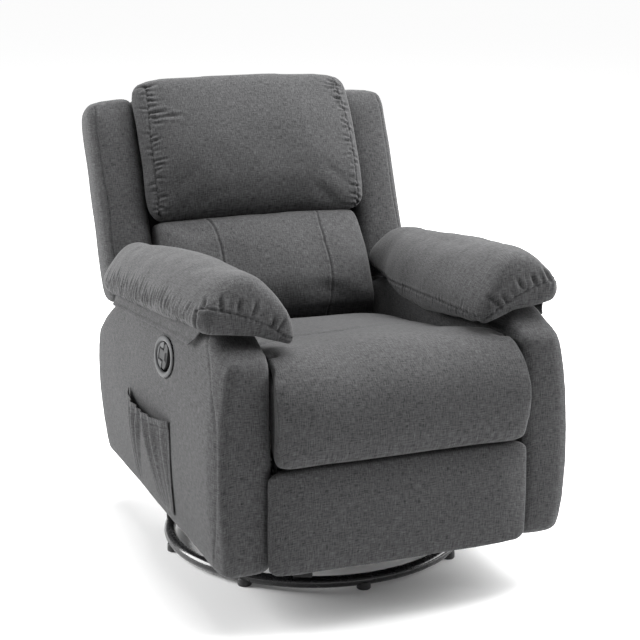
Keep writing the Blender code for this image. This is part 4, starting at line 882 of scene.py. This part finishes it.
spots += (np.where(under, level - local[:, 2], 0.0)[:, None]) * np.array(OUTWARD)
place(arm.data, spots)
form = bmesh.new()
form.from_mesh(arm.data)
inside = [vertex for vertex, gone in zip(form.verts, (oval < HOLE_SHARE) & outer_side) if gone]
bmesh.ops.delete(form, geom=inside, context="VERTS")
rim = [edge for edge in form.edges if edge.is_boundary]
sleeve = bmesh.ops.extrude_edge_only(form, edges=rim)["geom"]
sunk = [g for g in sleeve if isinstance(g, bmesh.types.BMVert)]
bmesh.ops.translate(form, vec=-SLEEVE_DEPTH * OUTWARD, verts=sunk)
bmesh.ops.contextual_create(form, geom=[g for g in sleeve if isinstance(g, bmesh.types.BMEdge)])
bmesh.ops.recalc_face_normals(form, faces=form.faces)
form.to_mesh(arm.data)
form.free()
for label, arm in covers.items():
    upholster(arm, "arm_" + label, "chair_body")

# %% [markdown]
# The wings stand beside the headrest. They are narrow padded boards with a seam along the outer front edge.
# Each could be a bevelled box, but the CAD solid already has the lean and the outline of the real one, so it
# gets a skin as the cushions do, and only its front is blown up.

# %% Wings
WING_TALLER = 0.008
WING_SEAM = [(-0.352, 0.462, 0.915), (-0.358, 0.428, 0.874), (-0.357, 0.390, 0.793), (-0.354, 0.352, 0.708),
             (-0.357, 0.323, 0.639), (-0.355, 0.305, 0.590), (-0.345, 0.300, 0.550)]
for side, label in ((-1, "left"), (1, "right")):
    wing = skin("wing_%s_cover" % label, "wing_" + label, grain=0.006, calm=6)
    spots = coords(wing.data)
    spots[:, 2] += WING_TALLER * ramp(spots[:, 2], 0.84, 0.91)
    place(wing.data, spots)
    depth = back_depth(spots)
    puff(wing, ramp(-depth, 0.005, 0.040), most=0.006, frames=12)
    refine(wing)
    line = WING_SEAM if side < 0 else mirrored(WING_SEAM)
    close_up(wing, [line])
    seam = sew(wing, line, width=0.0024, depth=0.0014, lip=0.0004, dark=0.30)
    gathers(wing, seam, count=12, shortest=0.008, longest=0.022, depth=0.0007, width=0.0040, seed=41 + side)
    rumple(wing, size=0.10, height=0.0018, seed=8.2 + side)
    upholster(wing, "wing_" + label, "backrest")

# %% [markdown]
# A covered board closes the back from behind. It is nearly flat, with soft edges, so it isn't blown up.

# %% Back panel
rear = skin("back_panel_cover", "back_panel", grain=0.0065, calm=8)
rumple(rear, size=0.15, height=0.0016, seed=3.3)
upholster(rear, "back_panel", "backrest")

# %% [markdown]
# Each arm carries a loose pillow, fuller in front, whose inner edge droops towards the seat. It is a long
# panel over the top with a sewn front end, and the cloth is gathered all along both seams. A simulation alone
# would blow it up evenly, like a balloon, so the droop and the swell are shaped first and the cloth is filled
# out afterwards.

# %% Shape of an arm pillow
PILLOW_FRONT_Y, PILLOW_FRONT_Z, PILLOW_SLOPE = -0.4197, 0.5963, 0.106
SWELL_OUT, SWELL_UP, DRAW_IN = 0.010, 0.013, 0.010


def pillow_floor(y):
    """Height of the plane that a pillow lies on."""
    return PILLOW_FRONT_Z - PILLOW_SLOPE * (y - PILLOW_FRONT_Y)


def plump(spots, swell):
    """Fill a pillow out: its inner edge hangs down, its outer side and its front end swell.

    Each ramp says where on the pillow one of these begins and ends, in metres; swell is 1 for the fullest.
    """
    wide, high = np.abs(spots[:, 0]), spots[:, 2] - pillow_floor(spots[:, 1])
    outward = np.sign(spots[:, 0])
    inner = ramp(0.272 - wide, 0.0, 0.040)
    outer = ramp(wide, 0.325, 0.385) * np.exp(-((high - 0.034) / 0.045) ** 2)
    front = ramp(-spots[:, 1], 0.350, 0.435)
    low = 1.0 - ramp(high, -0.015, 0.070)
    tip = ramp(-spots[:, 1], 0.390, 0.442) * (1.0 - ramp(high, 0.0, 0.05))
    hang = (0.036 - 0.020 * ramp(-spots[:, 1], 0.10, 0.43)) * inner * low
    droop = 0.014 + 0.012 * ramp(0.365 - wide, 0.0, 0.09) + 0.010 * ramp(0.280 - wide, 0.0, 0.035)
    spots[:, 2] -= np.maximum(hang, droop * tip)
    crown = ramp(high, 0.040, 0.100) * ramp(spots[:, 1], -0.36, -0.12)
    spots[:, 2] += SWELL_UP * swell * crown
    spots[:, 0] -= outward * DRAW_IN * (1.0 - swell) * front * ramp(wide, 0.320, 0.385)
    fill = 0.014 + 0.010 * ramp(spots[:, 1], -0.05, 0.08) * (1.0 - ramp(spots[:, 1], 0.17, 0.23))
    belly = np.exp(-((high - 0.005) / 0.05) ** 2)
    spots[:, 0] += outward * (SWELL_OUT * swell * outer - fill * inner * belly)
    spots[:, 1] -= (0.008 + 0.007 * swell) * front * np.exp(-((high - 0.022) / 0.042) ** 2)
    tuck = 0.020 * ramp(0.335 - wide, 0.0, 0.05) * np.exp(-((high - 0.025) / 0.035) ** 2)
    spots[:, 1] += (0.014 + tuck) * ramp(spots[:, 1], 0.120, 0.235)
    return spots


# %% Arm pillows
END_SEAM = [(-0.379, -0.414, 0.634), (-0.371, -0.428, 0.641), (-0.347, -0.440, 0.641),
            (-0.313, -0.445, 0.633), (-0.284, -0.447, 0.622), (-0.259, -0.447, 0.610),
            (-0.234, -0.444, 0.594), (-0.212, -0.436, 0.578)]
LOWER_EDGE = [(-0.392, 0.200, 0.540), (-0.392, 0.134, 0.545), (-0.392, 0.010, 0.558),
              (-0.392, -0.109, 0.571), (-0.390, -0.280, 0.589), (-0.384, -0.380, 0.600)]
INNER_SEAM = [(-0.250, 0.225, 0.530), (-0.228, 0.100, 0.542), (-0.206, -0.070, 0.556),
              (-0.195, -0.250, 0.570), (-0.193, -0.360, 0.576), (-0.203, -0.425, 0.577)]
PILLOW_FOLDS = ([(-0.341, -0.430, 0.668), (-0.349, -0.440, 0.642)],
                [(-0.309, -0.432, 0.655), (-0.316, -0.443, 0.636)],
                [(-0.365, -0.408, 0.660), (-0.370, -0.428, 0.644)],
                [(-0.276, -0.437, 0.651), (-0.290, -0.445, 0.627)],
                [(-0.219, -0.431, 0.618), (-0.239, -0.442, 0.597)],
                [(-0.243, -0.437, 0.622), (-0.254, -0.445, 0.606)],
                [(-0.377, -0.415, 0.640), (-0.381, -0.420, 0.624), (-0.376, -0.416, 0.606)])
END_GATHERS, INNER_GATHERS, EDGE_GATHERS, WRINKLES = 16, 30, 52, 70
WRINKLE_BACK_Y, WRINKLE_RUN, WRINKLE_X = 0.215, 0.61, 0.41
for side, label, swell in ((-1, "left", 1.0), (1, "right", 0.2)):
    pillow = skin("arm_pillow_%s_cover" % label, "arm_pillow_" + label, grain=0.005, calm=20)
    place(pillow.data, plump(coords(pillow.data), swell))
    out = facing(pillow.data)
    puff(pillow, ramp(out[:, 2], -0.25, 0.25), most=0.008)
    refine(pillow)
    sewn_lines = [line if side < 0 else mirrored(line) for line in (END_SEAM, INNER_SEAM)]
    close_up(pillow, sewn_lines, reach=0.014)
    for number, (line, count) in enumerate(zip(sewn_lines, (END_GATHERS, INNER_GATHERS))):
        seam = sew(pillow, line, width=0.0022, depth=0.0014, lip=0.0006, dark=0.40)
        gathers(pillow, seam, count, shortest=0.010, longest=0.034, depth=0.0018, width=0.0034,
                seed=51 + 5 * number + side)
    edge = settle(pillow, LOWER_EDGE if side < 0 else mirrored(LOWER_EDGE))
    gathers(pillow, edge, EDGE_GATHERS, shortest=0.045, longest=0.100, depth=0.0030, width=0.0032,
            seed=71 + side, sides=(side,))
    dice, wrinkles = random.Random(90 + side), []
    for k in range(WRINKLES):
        y = WRINKLE_BACK_Y - WRINKLE_RUN * (k + dice.uniform(0.1, 0.9)) / WRINKLES
        foot, tall, lean = dice.uniform(0.0, 0.026), dice.uniform(0.030, 0.066), dice.uniform(-0.012, 0.008)
        base = pillow_floor(y) + foot
        wrinkles.append([(side * WRINKLE_X, y + lean * t, base + tall * t) for t in (0.0, 0.5, 1.0)])
    crease(pillow, [settle(pillow, line, 3) for line in wrinkles], width=0.0030, depth=0.0017, lip=0.0008)
    folds = [line if side < 0 else mirrored(line) for line in PILLOW_FOLDS]
    crease(pillow, [settle(pillow, line) for line in folds], width=0.0042, depth=0.0042, lip=0.0018)
    rumple(pillow, size=0.07, height=0.0024, seed=6.6 + side)
    upholster(pillow, "arm_pillow_" + label, "chair_body")

# %% [markdown]
# A strip of the arm's cover hangs out below each pillow. It is a plain hemmed strip, so it is made as a grid
# laid against the arm, with a doubled hem at its lower edge.

# %% Thin cloth
ARM_OUTER = 0.36


def outside(arm, y, z, side):
    """How far from the middle an arm's cover lies at a place on its outer side."""
    graph = bpy.context.evaluated_depsgraph_get()
    eye, inwards = Vector((side * 0.6, y, z)), Vector((-side, 0.0, 0.0))
    hit, spot, _, _ = arm.evaluated_get(graph).ray_cast(eye, inwards)
    return abs(spot.x) if hit else ARM_OUTER


def thin_cloth(name, form, thickness):
    """A sheet made into a piece with a real thickness."""
    piece = piece_from(form, name)
    step = piece.modifiers.new("Solidify", "SOLIDIFY")
    step.thickness, step.offset = thickness, 1.0
    return bake(piece)


# %% Flaps
FLAP_DROP, FLAP_BACK_Y, FLAP_CLOTH = 0.036, 0.242, 0.0030
FLAP_STANDOFF, FLAP_FLARE, FLAP_HEM = 0.0040, 0.0080, 0.0012
HEM_SEAM_DROP, HEM_SEAM_SLOPE, HEM_SEAM_FRONT_Y = 0.0285, 0.0223, -0.3850
for side, label, start, slant in ((-1, "left", -0.385, 0.065), (1, "right", -0.398, 0.024)):
    form = bmesh.new()
    bmesh.ops.create_grid(form, x_segments=130, y_segments=14, size=1.0)
    for vertex in form.verts:
        run, down = (vertex.co.x + 1) / 2, (1 - vertex.co.y) / 2
        y = start + (FLAP_BACK_Y - start) * run
        y += slant * down * max(0.0, 1.0 - run * 8)
        high, low = pillow_floor(y) + 0.006, pillow_floor(y) - 0.0370 + 0.0140 * run
        z = high + (low - high) * down
        x = outside(covers[label], y, low, side) + FLAP_STANDOFF
        hem = FLAP_HEM if down > 0.80 else 0.0
        x += 0.0006 * math.sin(31 * run + side) * down + FLAP_FLARE * down ** 2 + hem
        vertex.co = Vector((side * x, y, z))
    form.normal_update()
    if sum(face.normal.x * side for face in form.faces) < 0:
        bmesh.ops.reverse_faces(form, faces=form.faces)
    area = sum(face.calc_area() for face in form.faces)
    flap = thin_cloth("arm_flap_%s_cloth" % label, form, FLAP_CLOTH)
    spots = coords(flap.data)
    slope = HEM_SEAM_SLOPE * (spots[:, 1] - HEM_SEAM_FRONT_Y)
    edge = np.abs(spots[:, 2] - pillow_floor(spots[:, 1]) + HEM_SEAM_DROP - slope)
    mark(flap, "seam", 0.45 * np.exp(-(edge / 0.0015) ** 2))
    rub_and_shade(flap)
    flap.data.materials.append(HEATHER)
    flap.data.shade_smooth()
    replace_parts(flap, "arm_flap_" + label)
    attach(flap, "chair_body")
    print(flap.name, "covers", round(area, 4), "square metres")

# %% [markdown]
# The pocket on the left arm is a patch of the same cloth, wider than the place it is sewn to, so it bags out
# and falls into folds below its elastic hem. The folds run together towards the bottom. Falling cloth would
# choose its own folds, so a grid is laid on the arm and each fold is raised where the photograph shows it.

# %% Side pocket
POCKET_MIDDLE_Y, POCKET_HALF_WIDTH, POCKET_DEPTH = -0.0602, 0.1515, 0.200
POCKET_FOOT_Z, POCKET_FOOT_RISE, POCKET_CLOTH = 0.146, 0.014, 0.0018
BAG, RIDGE, VALLEY, MOUTH = 0.0115, 0.0120, 0.0090, 0.0040
# the upper edge as y and z, and each fold's place across the top and across the foot
POCKET_TOP = ((-0.2127, 0.363), (-0.143, 0.352), (-0.068, 0.344), (0.035, 0.341), (0.0923, 0.351))
FOLDS = ((0.84, 0.80), (0.52, 0.72), (0.18, 0.62), (-0.06, -0.52), (-0.42, -0.72), (-0.80, -0.92))


def along(points, value):
    """Read a value, or an array of them, from a short table."""
    return np.interp(value, [p[0] for p in points], [p[1] for p in points])


form = bmesh.new()
bmesh.ops.create_grid(form, x_segments=120, y_segments=80, size=1.0)
for vertex in form.verts:
    run, rise = vertex.co.x, (vertex.co.y + 1) / 2
    y = POCKET_MIDDLE_Y + run * POCKET_HALF_WIDTH - 0.010 * math.sin(math.pi * rise) * max(0.0, -run)
    foot = POCKET_FOOT_Z + POCKET_FOOT_RISE * (1 - run) * 0.5
    z = foot + (along(POCKET_TOP, y) - foot) * rise
    slack = (1.0 - abs(run) ** 3) * math.sin(math.pi / 2 * rise) ** 0.8
    bag = BAG * slack
    tight = 1.0 - 0.75 * max(0.0, (rise - 0.80) / 0.20)
    for upper, lower in FOLDS:
        middle = lower + (upper - lower) * rise ** 0.8
        width = 0.035 + 0.045 * rise
        ridge = math.exp(-((run - middle) / width) ** 2)
        valley = math.exp(-((run - middle - 1.6 * width) / width) ** 2)
        bag += RIDGE * tight * slack ** 0.6 * (0.25 + 0.75 * rise) * ridge
        bag -= VALLEY * tight * slack * valley
    hem = 0.0012 + 0.0006 * math.sin(95.0 * run) if rise > 0.93 else 0.0
    hem += MOUTH * max(0.0, (rise - 0.75) / 0.25) ** 2 * (1.0 - abs(run) ** 4)
    x = max(outside(covers["left"], y, z + shift, -1) for shift in (-0.01, 0.0, 0.012))
    vertex.co = Vector((-(x + 0.0009 + bag + hem), y, z))
form.normal_update()
if sum(face.normal.x for face in form.faces) > 0:
    bmesh.ops.reverse_faces(form, faces=form.faces)
area = sum(face.calc_area() for face in form.faces)
print("pocket bags out over", round(area, 4), "square metres")

# %% Cloth, seams and painted edge shadow of the pocket
pocket = thin_cloth("side_pocket_cloth", form, POCKET_CLOTH)
spots = coords(pocket.data)
run = (spots[:, 1] - POCKET_MIDDLE_Y) / POCKET_HALF_WIDTH
below = along(POCKET_TOP, spots[:, 1]) - spots[:, 2]
# the side edges are darkened as their stitched seams and as painted shadow where the bagged cloth stands
# proud
side_seams_and_shadow = np.exp(-((np.abs(run) - 0.985) / 0.012) ** 2)
hem_seam = np.exp(-((below - 0.0150) / 0.0016) ** 2)
mark(pocket, "seam", np.clip(0.9 * (side_seams_and_shadow + hem_seam), 0.0, 1.0))
rub_and_shade(pocket)
pocket.data.materials.append(HEATHER)
pocket.data.shade_smooth()
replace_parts(pocket, "side_pocket")
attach(pocket, "chair_body")
print(pocket.name, "covers", round(area, 4), "square metres")

# %% [markdown]
# The release handle is an oval moulded cup let into the arm. A slotted plate fills its rear half, and a
# T-shaped lever hinges there. Oval rings are bridged into the cup, from the inside floor over the lip to the
# back, because a ring for each change of slope keeps the lip round with few faces.

# %% Handle cup
def oval_ring(form, length, height, level, count=72):
    """A closed ring of edges in the handle's own frame."""
    made = bmesh.ops.create_circle(form, cap_ends=False, segments=count, radius=1.0)["verts"]
    bmesh.ops.scale(form, vec=(length / 2, height / 2, 1.0), verts=made)
    bmesh.ops.translate(form, vec=(0.0, 0.0, level), verts=made)
    return list({edge for vertex in made for edge in vertex.link_edges})


# length, height and level of each ring
PROFILE = ((0.098, 0.056, -0.0266), (0.102, 0.060, -0.0250), (0.1022, 0.0602, -0.0010),
           (0.1035, 0.0615, 0.0022), (0.1065, 0.0645, 0.0038), (0.113, 0.071, 0.0042),
           (0.120, 0.078, 0.0038), (0.1245, 0.0825, 0.0022), (RIM_LENGTH, RIM_HEIGHT, 0.0002),
           (0.1075, 0.0655, 0.0), (0.1075, 0.0655, -0.0292), (0.104, 0.062, -0.0300))
LIP_LEVEL = -0.0004
form = bmesh.new()
rings = [oval_ring(form, *ring) for ring in PROFILE]
for first, second in zip(rings, rings[1:]):
    bmesh.ops.bridge_loops(form, edges=first + second)
for end in (rings[0], rings[-1]):
    bmesh.ops.contextual_create(form, geom=end)
bmesh.ops.recalc_face_normals(form, faces=form.faces)
bmesh.ops.transform(form, matrix=HANDLE_FRAME, verts=form.verts)
cup = piece_from(form, "handle_bezel")
cup.data.materials.append(FINISHES["plastic_grey"])
# the cup's inside below the lip takes the near-black finish, painted shade for its recess
cup.data.materials.append(FINISHES["slot_black"])
for face in cup.data.polygons:
    if (face.center - HANDLE_SPOT).dot(OUTWARD) < LIP_LEVEL:
        face.material_index = 1
cup.data.shade_smooth()
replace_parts(cup, "handle_cup")
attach(cup, "chair_body")
print("handle cup:", len(cup.data.polygons), "faces")

# %% Handle plate
def slab(form, outline, low, high, round_off):
    """A flat outline given a thickness and soft edges."""
    base = form.faces.new([form.verts.new((x, y, low)) for x, y in outline])
    raised = bmesh.ops.extrude_face_region(form, geom=[base])["geom"]
    tops = [g for g in raised if isinstance(g, bmesh.types.BMVert)]
    bmesh.ops.translate(form, vec=(0.0, 0.0, high - low), verts=tops)
    bmesh.ops.recalc_face_normals(form, faces=form.faces)
    edges = [edge for edge in form.edges if edge.calc_face_angle(0.0) > math.radians(50)]
    bmesh.ops.bevel(form, geom=edges, offset=round_off, affect="EDGES", segments=2, profile=0.5, material=-1)


PLATE_ANGLE = 1.832
PLATE_SLOT = [(-0.0128, -0.0132), (-0.0392, -0.0132), (-0.0392, 0.0132), (-0.0128, 0.0132)]
turns = np.linspace(PLATE_ANGLE, math.tau - PLATE_ANGLE, 29)
rear_half = [(0.0495 * math.cos(turn), 0.0288 * math.sin(turn)) for turn in turns]
form = bmesh.new()
slab(form, rear_half + PLATE_SLOT, low=-0.0062, high=0.0006, round_off=0.0008)
bmesh.ops.transform(form, matrix=HANDLE_FRAME, verts=form.verts)
plate = piece_from(form, "handle_plate")
plate.data.materials.append(FINISHES["plastic_grey"])
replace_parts(plate, "handle_cup")
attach(plate, "chair_body")
print("handle plate:", len(plate.data.polygons), "faces")

# %% Handle lever
GRIP = [(-0.0358, 0.0098), (-0.0358, -0.0098), (-0.0092, -0.0098), (-0.0092, -0.0225), (-0.0050, -0.0262),
        (0.0060, -0.0262), (0.0140, -0.0190), (0.0168, -0.0090), (0.0175, 0.0), (0.0168, 0.0090),
        (0.0140, 0.0190), (0.0060, 0.0262), (-0.0050, 0.0262), (-0.0092, 0.0225), (-0.0092, 0.0098)]
RIBS = 3
PIN_RADIUS, PIN_LENGTH, PIN_SPOT = 0.003, 0.0478, (-0.032, 0.0, -0.0035)
form = bmesh.new()
slab(form, GRIP, low=-0.0070, high=0.0, round_off=0.0010)
for k in range(RIBS):
    rib = bmesh.ops.create_cube(form, size=1.0)["verts"]
    bmesh.ops.scale(form, vec=(0.0014, 0.020 - 0.002 * k, 0.0012), verts=rib)
    bmesh.ops.translate(form, vec=(0.0115 - 0.0045 * k, 0.0, 0.0002), verts=rib)
bmesh.ops.create_cone(form, cap_ends=True, segments=20, radius1=PIN_RADIUS, radius2=PIN_RADIUS,
                      depth=PIN_LENGTH,
                      matrix=Matrix.Translation(PIN_SPOT) @ Matrix.Rotation(math.pi / 2, 4, "X"))
bmesh.ops.transform(form, matrix=HANDLE_FRAME, verts=form.verts)
lever = piece_from(form, "handle_grip")
lever.data.materials.append(FINISHES["lever_grey"])
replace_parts(lever, "handle_lever")
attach(lever, "handle")
print("handle lever:", len(lever.data.polygons), "faces")

# %% [markdown]
# The base is one steel tube bent into a ring, enamelled glossy black, on small glides. A circle spun once
# round the swivel axis gives the tube, and short bevelled cylinders stand under it.

# %% Base ring
SWIVEL = Vector((0.0, -0.0327, 0.0))
RING_RADIUS, TUBE_RADIUS, TUBE_LEVEL = 0.325, 0.0125, 0.0205
upright = Matrix.Translation((RING_RADIUS, 0.0, TUBE_LEVEL)) @ Matrix.Rotation(math.pi / 2, 4, "X")
form = bmesh.new()
section = bmesh.ops.create_circle(form, cap_ends=False, segments=24, radius=TUBE_RADIUS, matrix=upright)
hoop = list({edge for vertex in section["verts"] for edge in vertex.link_edges})
bmesh.ops.spin(form, geom=section["verts"] + hoop, cent=(0, 0, 0), axis=(0, 0, 1), angle=math.tau, steps=144,
               use_merge=True)
bmesh.ops.remove_doubles(form, verts=form.verts, dist=0.00001)
bmesh.ops.recalc_face_normals(form, faces=form.faces)
bmesh.ops.translate(form, vec=SWIVEL, verts=form.verts)
ring = piece_from(form, "base_ring_tube")
ring.data.materials.append(FINISHES["steel_black"])
ring.data.shade_smooth()
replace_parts(ring, "base_ring")
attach(ring, "swivel_base")
print("base ring:", len(ring.data.polygons), "faces")

# %% Glides
GLIDE_COUNT, GLIDE_START = 8, math.radians(-3.0)
GLIDE_FOOT, GLIDE_HEAD, GLIDE_HEIGHT, GLIDE_ROUND = 0.015, 0.0145, 0.017, 0.0022
form = bmesh.new()
for k in range(GLIDE_COUNT):
    angle = GLIDE_START + math.tau * k / GLIDE_COUNT
    spot = SWIVEL + Vector((RING_RADIUS * math.cos(angle), RING_RADIUS * math.sin(angle), GLIDE_HEIGHT / 2))
    bmesh.ops.create_cone(form, cap_ends=True, segments=28, radius1=GLIDE_FOOT, radius2=GLIDE_HEAD,
                          depth=GLIDE_HEIGHT, matrix=Matrix.Translation(spot))
edges = [edge for edge in form.edges if edge.calc_face_angle(0.0) > math.radians(60)]
bmesh.ops.bevel(form, geom=edges, offset=GLIDE_ROUND, affect="EDGES", segments=3, profile=0.5, material=-1)
glides = piece_from(form, "base_glides")
glides.data.materials.append(FINISHES["plastic_black"])
glides.data.shade_smooth()
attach(glides, "swivel_base")
print("base: ring and", GLIDE_COUNT, "glides")

# %% [markdown]
# Four coil springs join the rocker plate to the cross tubes of the seat. They bend and shorten as the chair
# rocks; here each is copied from its CAD coil and smoothed, and left in place on no body. A spring that rode
# on one body alone would cut through the tube on the other.

# %% Rocker springs
MERGE = 0.00002
for name in [name for name in nodes if name.startswith("rocker_spring")]:
    form = bmesh.new()
    form.from_mesh(nodes[name].data)
    bmesh.ops.remove_doubles(form, verts=form.verts, dist=MERGE)
    coil = refine(piece_from(form, name + "_coil"))
    coil.data.materials.clear()
    coil.data.materials.append(FINISHES["spring_steel"])
    coil.data.shade_smooth()
    low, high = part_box(name)
    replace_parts(coil, name)
    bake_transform(coil)
    print(coil.name, "stands", round(1000 * (high[2] - low[2])), "mm high")

# %% [markdown]
# Upholsterers cover bare plywood with thin black lining cloth, so that no wood shows between the cushions,
# and its near black also paints the shade in those gaps. Only the finish changes, so the rails keep their CAD
# shape.

# %% Lining, also painted shade in the gaps
# near-black cloth on the rails, which also stands for the shade in the gaps between cushions
LINING_AS_GAP_SHADE = hard_finish("black_lining_gap_shade", (0.010, 0.010, 0.011), (0.022, 0.022, 0.023),
                     rough=0.85, scatter=0.10, scale=900.0, bump=0.0002)
LINED_AS_GAP_SHADE = ("back_upright_left", "back_upright_right", "back_rail_top", "back_rail_bottom", "seat_rail_left",
         "seat_rail_right", "seat_rail_front", "seat_rail_rear", "footrest_board")
print("lined with black cloth:", len(LINED_AS_GAP_SHADE), "rails")

# %% [markdown]
# The mechanism, the seat springs and the wooden frame are right as the CAD has them. Their meshes are loose
# triangles, so they are welded first. Then sharp edges are rounded, the springs are smoothed, and each part
# takes the finish that its record names, except the rails under the black lining.

# %% Mechanism and frame
EDGE_ROUND, EDGE_ANGLE = 0.0008, math.radians(40.0)
replaced = {name for piece in scene.objects if "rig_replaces" in piece for name in piece["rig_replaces"]}
slots = {part["node"]: part["material_slot"] for part in frame["record"]["subparts"]}
kept = [name for name in nodes if name not in replaced]
for name in kept:
    part = nodes[name]
    step = part.modifiers.new("Weld", "WELD")
    step.merge_threshold = MERGE
    if "spring" in name:
        step = part.modifiers.new("Subdivision", "SUBSURF")
        step.levels = step.render_levels = 1
    else:
        step = part.modifiers.new("Bevel", "BEVEL")
        step.width, step.segments, step.limit_method = EDGE_ROUND, 2, "ANGLE"
        step.angle_limit = EDGE_ANGLE
        step.use_clamp_overlap = True
    part.data.materials.clear()
    part.data.materials.append(LINING_AS_GAP_SHADE if name in LINED_AS_GAP_SHADE else FINISHES[slots[name]])
print("kept", len(kept), "CAD parts")
